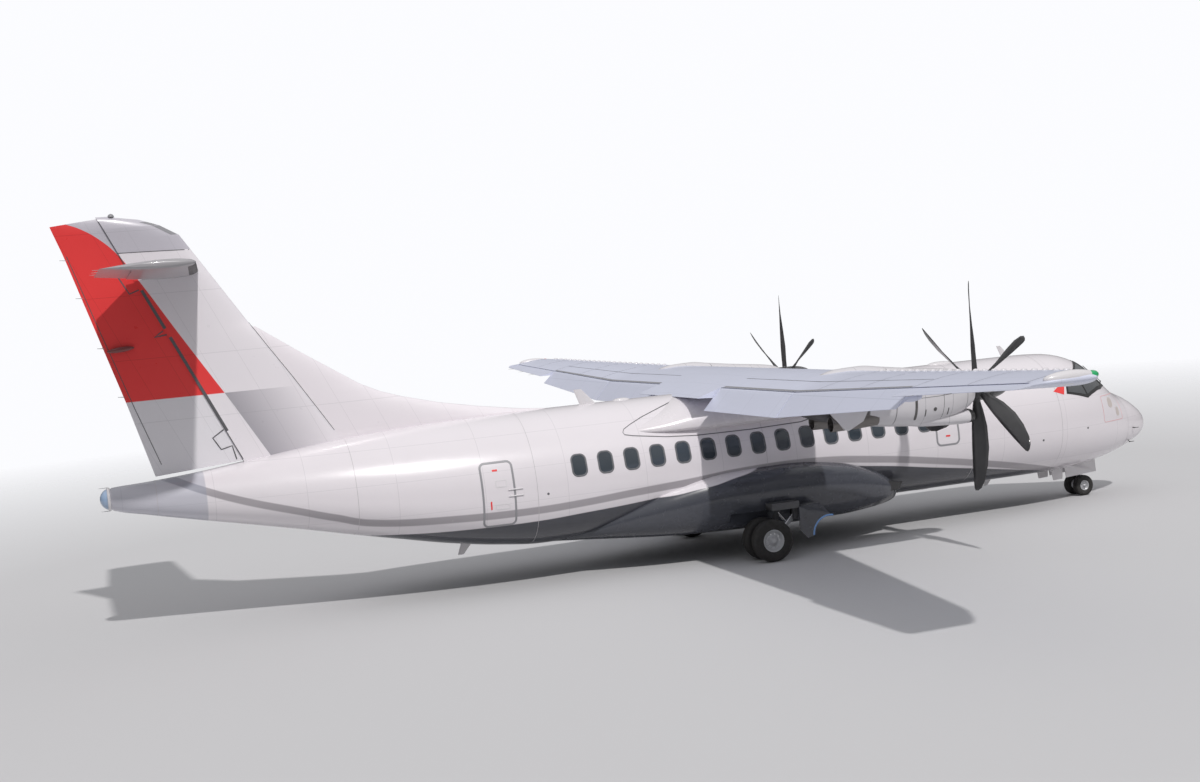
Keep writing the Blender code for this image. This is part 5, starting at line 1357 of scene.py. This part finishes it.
def build_nacelles():
    """Cowls with chin scoops, louvres, exhausts and hinge fairings; propellers and spinners."""
    for side, word in ((1, "left"), (-1, "right")):
        y = NACELLE_Y * side
        cowl, scoop = Skin(COWL_STATIONS, y), Skin(SCOOP_STATIONS, y, 2.6)
        place("skin_nacelle_cowl_" + word, loft("cowl", cowl.rings(spread(COWL_END_X, 4.385, 0.08), 64)),
              "nacelle", "airframe", "nacelle_cowl_" + word, slot="white_paint")
        place("skin_nacelle_aft_" + word,
              loft("aft", cowl.rings(spread(COWL_STATIONS[-1][0], COWL_END_X - 0.0003, 0.08), 64)),
              "nacelle", "airframe", "nacelle_aft_" + word, slot="white_paint")
        place("scoop_" + word, loft("scoop", scoop.rings(spread(2.80, 4.300, 0.08), 48), capped=False),
              "nacelle", "airframe")
        lip = [scoop.rings([x], 48, grow)[0] for x, grow in (
            (4.300, 0.004), (4.385, 0.000), (4.400, -0.012), (4.402, -0.022), (4.385, -0.034),
            (4.330, -0.042), (4.100, -0.050))]
        place("scoop_lip_" + word, loft("lip", lip), "black", "airframe")
        place("cowl_lip_" + word, loft("front", [cowl.rings([x], 64, grow)[0] for x, grow in (
            (4.360, 0.002), (4.388, 0.0), (4.396, -0.012), (4.390, -0.06))]), "black", "airframe")

        smooth_copy("engine_" + word, "engine", "airframe")
        smooth_copy("propeller_" + word, "prop", "propeller_" + word, smooth=50)
        smooth_copy("spinner_" + word, "spinner", "propeller_" + word, smooth=60)

        dark, fine, white, ducts = [], [], [], []
        for flank in (1, -1):
            dark.append(rim(cowl, 3.03, 2.82, (0.05, 0.46), 0.02, flank, ((0.0, 0.0), (0.0, 0.004),
                                                                         (-0.02, 0.004))))
            dark.append(pane(cowl, 3.03, 2.82, (0.05, 0.46), 0.02, flank, 0.004))
            dark.append(pane(cowl, 3.23, 2.70, (0.018, 0.13), 0.008, flank, 0.004))
            dark.append(pane(cowl, 3.73, 2.68, (0.018, 0.13), 0.008, flank, 0.004))
            dark.append(pane(cowl, 3.43, 2.75, (0.07, 0.07), 0.034, flank, 0.004))
            spots = [(2.64, 2.98), (3.50, 2.98), (4.33, 3.02)]
            fine.append(strip(spots, 0.008, lambda x, z, c=cowl, f=flank: c.spot(x, z, f, 0.002)))
            for x in (2.63, 3.62, 4.16):
                low, high = cowl.point(x, math.radians(150)).z, cowl.point(x, math.radians(20)).z
                fine.append(strip([(x, low), (x, (low + high) / 2), (x, high)], 0.009,
                                  lambda x, z, c=cowl, f=flank: c.spot(x, z, f, 0.002), 0.05))
            ducts.append(exhaust(Vector((2.30, y + flank * 0.26, 2.74)),
                                 Vector((1.33, y + flank * 0.37, 2.70))))
            fairing = [(2.12, 3.02), (1.92, 2.70), (1.62, 2.56), (1.54, 2.58), (1.36, 2.80), (1.18, 3.05)]
            white.append(prism(fairing, y + flank * 0.47, 0.07))
        # The vent panes are painted shade for the dark openings of the cowl.
        place("nacelle_openings_" + word, merged("dark", dark), "vent_shade", "airframe")
        place("exhausts_" + word, merged("ducts", ducts), "burnt", "airframe")
        place("nacelle_seams_" + word, merged("fine", fine), "seam", "airframe")
        place("nacelle_brackets_" + word, merged("white", white), "white", "airframe")


def prism(outline_xz, y, thickness):
    """A flat plate with rounded edges from an (x, z) outline."""
    bm = bmesh.new()
    rings = []
    for offset, inset in ((-0.5, 0.14), (-0.35, 0.0), (0.35, 0.0), (0.5, 0.14)):
        cx = sum(x for x, z in outline_xz) / len(outline_xz)
        cz = sum(z for x, z in outline_xz) / len(outline_xz)
        rings.append([bm.verts.new((x + (cx - x) * inset, y + offset * thickness, z + (cz - z) * inset))
                      for x, z in outline_xz])
    count = len(outline_xz)
    for row, after in zip(rings, rings[1:]):
        for k in range(count):
            bm.faces.new((row[k], row[(k + 1) % count], after[(k + 1) % count], after[k]))
    bm.faces.new(rings[0])
    bm.faces.new(rings[-1])
    return finish_mesh("prism", bm)


def tyre_profile(radius, width, rim, offset):
    """Rounded tyre with four tread grooves, as (radius, offset)."""
    half = width / 2
    points = [(rim, offset - 0.72 * half), (rim + 0.02, offset - 0.80 * half),
              (rim + 0.3 * (radius - rim), offset - 0.97 * half),
              (rim + 0.6 * (radius - rim), offset - half),
              (radius - 0.12 * (radius - rim), offset - 0.86 * half),
              (radius - 0.03 * (radius - rim), offset - 0.68 * half)]
    for share in (-0.42, -0.14, 0.14, 0.42):
        middle = offset + share * half
        points += [(radius, middle - 0.035 * half), (radius - 0.010, middle - 0.028 * half),
                   (radius - 0.010, middle + 0.028 * half), (radius, middle + 0.035 * half)]
    mirror = [(r, 2 * offset - h) for r, h in reversed(points[:6])]
    return points + mirror


def pod_ring(x):
    """Section of the belly fairing, its corners rounded by a spline."""
    half, top, low = blend(POD_STATIONS, x)
    tall = top - low
    edge = [(half - 0.50, top + 0.06), (half - 0.14, top - 0.03), (half - 0.02, top - 0.22 * tall),
            (half, top - 0.45 * tall), (half - 0.07, low + 0.28 * tall),
            (half - 0.25, low + 0.08 * tall), (half - 0.50, low)]
    points = [(edge[0][0] - 0.3, edge[0][1]), *edge, (edge[-1][0] - 0.3, low)]
    smooth = []
    for k in range(1, len(points) - 2):
        p0, p1, p2, p3 = points[k - 1:k + 3]
        for t in (0.0, 0.25, 0.5, 0.75):
            smooth.append(tuple(0.5 * (2 * b + (c - a) * t + (2 * a - 5 * b + 4 * c - d) * t**2
                                       + (3 * b - a - 3 * c + d) * t**3)
                                for a, b, c, d in zip(p0, p1, p2, p3)))
    smooth.append(edge[-1])
    return [Vector((x, y, z)) for y, z in smooth] + [Vector((x, -y, z)) for y, z in reversed(smooth)]


def build_belly():
    """Belly fairing with open wheel wells and the intakes at its front."""
    mesh = loft("belly", [pod_ring(x) for x in spread(-2.85, 4.50, 0.12)])
    belly = place("skin_belly_fairing", mesh, "belly", "airframe", "belly_fairing",
                  slot="belly_paint", smooth=50)
    for side in (1, -1):
        low, high = sorted((1.66 * side, 2.60 * side))
        well = rounded_box((0.40, low, 0.30), (1.90, high, 0.93), 0.03)
        cut(belly, well)
    belly.data.set_sharp_from_angle(angle=math.radians(50))
    # The intake mouths are solid black plates: painted shade standing in for their dark openings.
    details = []
    for side in (1, -1):
        mouth = [(3.88, 1.15), (4.34, 1.06), (4.27, 0.92), (3.88, 0.88)]
        details.append(prism(mouth, side * 1.38, 0.26))
    place("belly_intakes_painted_shade", merged("intakes", details), "black", "airframe")


def wheel_details(centre, radius, offset, width, word, body):
    """Bolts and hub cap on each wheel's outer face."""
    pieces, caps = [], []
    for sign in (1, -1):
        face = centre.y + sign * (offset + 0.75 * width / 2)
        caps.append(dome((centre.x, face - sign * 0.004, centre.z), (0.26 * radius, 0.26 * radius, 0.018),
                         (0, 1, 0), segments=24))
        for k in range(10):
            angle = 2 * math.pi * k / 10
            spot = Vector((centre.x + 0.62 * radius * math.cos(angle), face - sign * 0.60 * 0.75 * width / 2,
                           centre.z + 0.62 * radius * math.sin(angle)))
            pieces.append(bar(spot, spot + Vector((0, sign * 0.014, 0)), 0.012, segments=6))
    place("hub_bolts_" + word, merged("bolts", pieces), "steel", body)
    place("hub_caps_" + word, merged("caps", caps), "rim", body)


def build_gear():
    for side, word in ((1, "left"), (-1, "right")):
        body = "main_wheels_" + word
        smooth_copy("main_gear_leg_" + word, "dark_gear", "airframe")
        smooth_copy("main_gear_arm_" + word, "gear", "airframe")
        smooth_copy("main_gear_door_" + word, "belly", "airframe")
        smooth_copy("wheels_main_" + word, "rim", body)
        axle = Vector((MAIN_AXLE.x, MAIN_AXLE.y * side, MAIN_AXLE.z))
        for place_word, offset in (("port", 0.21), ("starboard", -0.21)):
            node = "tyre_main_%s_%s" % (word, place_word)
            mesh = turned(tyre_profile(0.4065, 0.22, 0.2153, offset), axle, (0, 1, 0), 64)
            place(node + "_rubber", mesh, "tyre", body, node, slot="tyre_rubber")
        wheel_details(axle, 0.215, 0.21, 0.22, "main_" + word, body)

        brakes = []
        for sign in (1, -1):
            for k in range(4):
                spot = axle + Vector((0, sign * (0.074 + 0.012 * k), 0))
                brakes.append(bar(spot, spot + Vector((0, sign * 0.008, 0)), 0.150, segments=32))
        place("brakes_main_" + word, merged("brakes", brakes), "engine", "airframe")
        y = axle.y
        top, foot = Vector((1.26, y, 0.95)), Vector((1.12, y, 0.56))
        links = [
            bar(top.lerp(foot, 0.50), top.lerp(foot, 0.56), 0.064, segments=24),
            bar(Vector((1.245, y - 0.045, 0.90)), Vector((1.40, y - 0.045, 0.70)), 0.012),
            bar(Vector((1.245, y + 0.045, 0.90)), Vector((1.40, y + 0.045, 0.70)), 0.012),
            bar(Vector((1.58, y + 0.03 * side, 0.86)), Vector((1.20, y + 0.075 * side, 0.50)), 0.010),
        ]
        place("gear_links_" + word, merged("links", links), "steel", "airframe")
        arc = [(2.30 + 0.335 * math.cos(a), 0.37 + 0.335 * math.sin(a))
               for a in (math.radians(75 + 105 * k / 16) for k in range(17))]
        door_y = side * (MAIN_AXLE.y + 0.0823)
        rows = [[Vector((x + (2.30 - x) * inset, door_y + dy, z + (0.37 - z) * inset)) for x, z in arc]
                for inset, dy in ((-0.10, 0.0126), (0.004, 0.0126), (0.004, -0.0126), (-0.10, -0.0126))]
        place("gear_door_edge_" + word, loft("edge", rows, capped=False, closed=False), "blue",
              "airframe")

    smooth_copy("nose_gear_leg", "gear", "airframe")
    smooth_copy("nose_steering", "gear", "nose_steering")
    for word in ("left", "right"):
        smooth_copy("nose_gear_door_" + word, "white", "airframe")
    smooth_copy("wheels_nose", "rim", "nose_wheels")
    for place_word, offset in (("port", 0.165), ("starboard", -0.165)):
        node = "tyre_nose_" + place_word
        mesh = turned(tyre_profile(0.225, 0.16, 0.1103, offset), NOSE_AXLE, (0, 1, 0), 56)
        place(node + "_rubber", mesh, "tyre", "nose_wheels", node, slot="tyre_rubber")
    wheel_details(NOSE_AXLE, 0.11, 0.165, 0.16, "nose", "nose_wheels")
    links = [bar((9.64, 0.035, 0.44), (9.74, 0.03, 0.35), 0.010), bar((9.64, -0.035, 0.44),
                                                                     (9.74, -0.03, 0.35), 0.010),
             bar((9.74, 0.03, 0.35), (9.62, 0.03, 0.26), 0.010), bar((9.74, -0.03, 0.35),
                                                                    (9.62, -0.03, 0.26), 0.010),
             bar((9.74, -0.045, 0.35), (9.74, 0.045, 0.35), 0.008)]
    place("nose_links", merged("links", links), "steel", "nose_steering")
    lamp = turned([(0.0, 0.0), (0.05, 0.0), (0.06, 0.04), (0.055, 0.055), (0.0, 0.065)],
                  (9.635, 0.0, 0.60), (1, 0, 0), 24, closed=False)
    place("taxi_lamp", lamp, "clear_lamp", "airframe")
    rear_door = [prism([(8.70, 0.70), (9.00, 0.70), (8.985, 0.45), (8.75, 0.44)], side * 0.27, 0.02)
                 for side in (1, -1)]
    place("nose_gear_rear_doors", merged("doors", rear_door), "white", "airframe")


def build_fuselage_fittings():
    """Aerials, probes, lamps and marks on the fuselage."""
    top = blend(HULL_STATIONS, 0.0)[1]
    aerials = [blade((-1.70, 0.0, top - 0.02), 0.34, (-1.90, 0.0, top + 0.30), 0.16, 0.035),
               blade((7.95, 0.0, top - 0.02), 0.22, (7.78, 0.0, top + 0.24), 0.10, 0.030),
               blade((7.30, 0.0, 0.68), 0.20, (7.20, 0.0, 0.50), 0.10, 0.028),
               blade((-4.40, 0.0, 0.86), 0.24, (-4.55, 0.0, 0.62), 0.12, 0.028)]
    place("aerials", merged("aerials", aerials), "white", "airframe")
    blisters = [dome((6.30, 0.0, top - 0.01), (0.13, 0.06, 0.30), (1, 0, 0)),
                dome((-1.00, 0.0, top - 0.01), (0.10, 0.05, 0.18), (1, 0, 0)),
                dome((5.60, 0.0, 0.66), (0.14, 0.05, 0.35), (1, 0, 0))]
    place("aerial_blisters", merged("blisters", blisters), "white", "airframe")
    place("anti_collision_lamp", dome((3.90, 0.0, 0.64), (0.055, 0.055, 0.06), segments=16), "red_lamp",
          "airframe")

    probes, marks, lines, ovals = [], [], [], []
    for side in (1, -1):
        for x, z in ((10.643, 1.416), (10.60, 1.13)):
            foot = HULL.spot(x, z, side, 0.0)
            out = HULL.spot(x, z, side, 0.05)
            probes += [bar(foot, out, 0.012, 0.009, 10), bar(out - Vector((0.03, 0, 0)),
                                                            out + Vector((0.10, 0, 0)), 0.009, 0.006, 10)]
        for x, z in ((9.02, 1.62), (7.80, 1.50), (-3.1, 1.75)):
            marks.append(pane(HULL, x, z, (0.045, 0.045), 0.02, side, 0.002))
        lines.append(rim(HULL, 9.90, 1.95, (0.68, 0.56), 0.05, side, ((0.006, 0.0), (0.004, 0.002),
                                                                    (-0.004, 0.002), (-0.006, 0.0))))
        ovals += [pane(HULL, 9.86, 2.065, (0.17, 0.22), 0.08, side, 0.002),
                  pane(HULL, 10.08, 1.85, (0.11, 0.19), 0.05, side, 0.002)]
    place("pitot_probes", merged("probes", probes), "black", "airframe")
    place("static_ports", merged("marks", marks), "seam", "airframe")
    place("nose_panel_lines", merged("lines", lines), "pink", "airframe")
    place("nose_panel_covers", merged("ovals", ovals), "beige", "airframe")

    seams = []
    for side in (1, -1):
        for x in (RADOME_X, FORWARD_X, REAR_X, -6.60, 8.30, 1.42, TAIL_CONE_X):
            low = HULL.point(x, math.radians(168)).z
            high = HULL.point(x, math.radians(6)).z
            count = 40
            spots = [(x, HULL.point(x, math.radians(6 + 162 * k / count)).z) for k in range(count + 1)]
            seams.append(strip(spots, 0.008, lambda x, z, s=side: HULL.spot(x, z, s, 0.0015), 0.2))
    place("barrel_seams", merged("seams", seams), "faint", "airframe")


def floor_paint():
    """A pale matt floor that fades out with distance from the aircraft."""
    p = Paint("floor_paint", (0.60, 0.60, 0.61), 0.95)
    away = p.math("SQRT", p.math("ADD", p.math("MULTIPLY", p.x, p.x), p.math("MULTIPLY", p.y, p.y)))
    fade = p.math("MULTIPLY_ADD", away, 1 / 34.0, clamp=True)
    fade.node.inputs[2].default_value = -16.0 / 34.0
    clear = p.nodes.new("ShaderNodeBsdfTransparent")
    blend_node = p.nodes.new("ShaderNodeMixShader")
    p.links.new(fade, blend_node.inputs[0])
    p.links.new(p.shader.outputs[0], blend_node.inputs[1])
    p.links.new(clear.outputs[0], blend_node.inputs[2])
    p.links.new(blend_node.outputs[0], p.nodes["Material Output"].inputs["Surface"])
    return p.material


def build_stage():
    """Pale floor, white surroundings, the sun and the camera."""
    bm = bmesh.new()
    bmesh.ops.create_circle(bm, cap_ends=True, radius=FLOOR_RADIUS, segments=96)
    mesh = finish_mesh("floor", bm)
    floor = bpy.data.objects.new("floor", mesh)
    bpy.context.scene.collection.objects.link(floor)
    mesh.materials.append(floor_paint())

    world = bpy.data.worlds.new("surroundings")
    world.use_nodes = True
    bpy.context.scene.world = world
    nodes, links = world.node_tree.nodes, world.node_tree.links
    background = nodes["Background"]
    background.inputs["Color"].default_value = (0.97, 0.975, 1.0, 1.0)
    split = nodes.new("ShaderNodeSeparateXYZ")
    links.new(nodes.new("ShaderNodeTexCoord").outputs["Generated"], split.inputs[0])
    height = nodes.new("ShaderNodeMapRange")
    height.inputs["From Min"].default_value = -0.05
    height.inputs["From Max"].default_value = 0.85
    height.inputs["To Min"].default_value = SKY_LOW
    height.inputs["To Max"].default_value = SKY_HIGH
    links.new(split.outputs[2], height.inputs["Value"])
    sky = nodes.new("ShaderNodeMix")
    sky.inputs[3].default_value = 1.0
    links.new(height.outputs[0], sky.inputs[2])
    path = nodes.new("ShaderNodeLightPath")
    links.new(path.outputs["Is Camera Ray"], sky.inputs["Factor"])
    links.new(sky.outputs["Result"], background.inputs["Strength"])

    sun = bpy.data.lights.new("sun", "SUN")
    sun.energy = SUN_STRENGTH
    sun.angle = math.radians(1.5)
    sun.color = (1.0, 0.975, 0.96)
    lamp = bpy.data.objects.new("sun", sun)
    lamp.rotation_mode = "QUATERNION"
    lamp.rotation_quaternion = SUN_TRAVEL.to_track_quat("-Z", "Y")
    bpy.context.scene.collection.objects.link(lamp)

    lens = bpy.data.cameras.new("camera")
    lens.lens = CAMERA_LENS_MM
    lens.sensor_width = 36.0
    lens.sensor_fit = "HORIZONTAL"
    lens.clip_end = 3000.0
    camera = bpy.data.objects.new("camera", lens)
    up = CAMERA_RIGHT.cross(CAMERA_FORWARD).normalized()
    turn = Matrix((CAMERA_RIGHT, up, -CAMERA_FORWARD)).transposed().to_4x4()
    camera.matrix_world = Matrix.Translation(CAMERA_AT) @ turn
    bpy.context.scene.collection.objects.link(camera)
    bpy.context.scene.camera = camera
    bpy.context.scene.view_settings.view_transform = "Standard"


build_stage()
build_hull()
build_windows()
build_doors()
build_cockpit()
build_fuselage_fittings()
build_saddle()
build_wing()
build_fin()
build_tailplane()
build_tail_end()
build_nacelles()
build_belly()
build_gear()
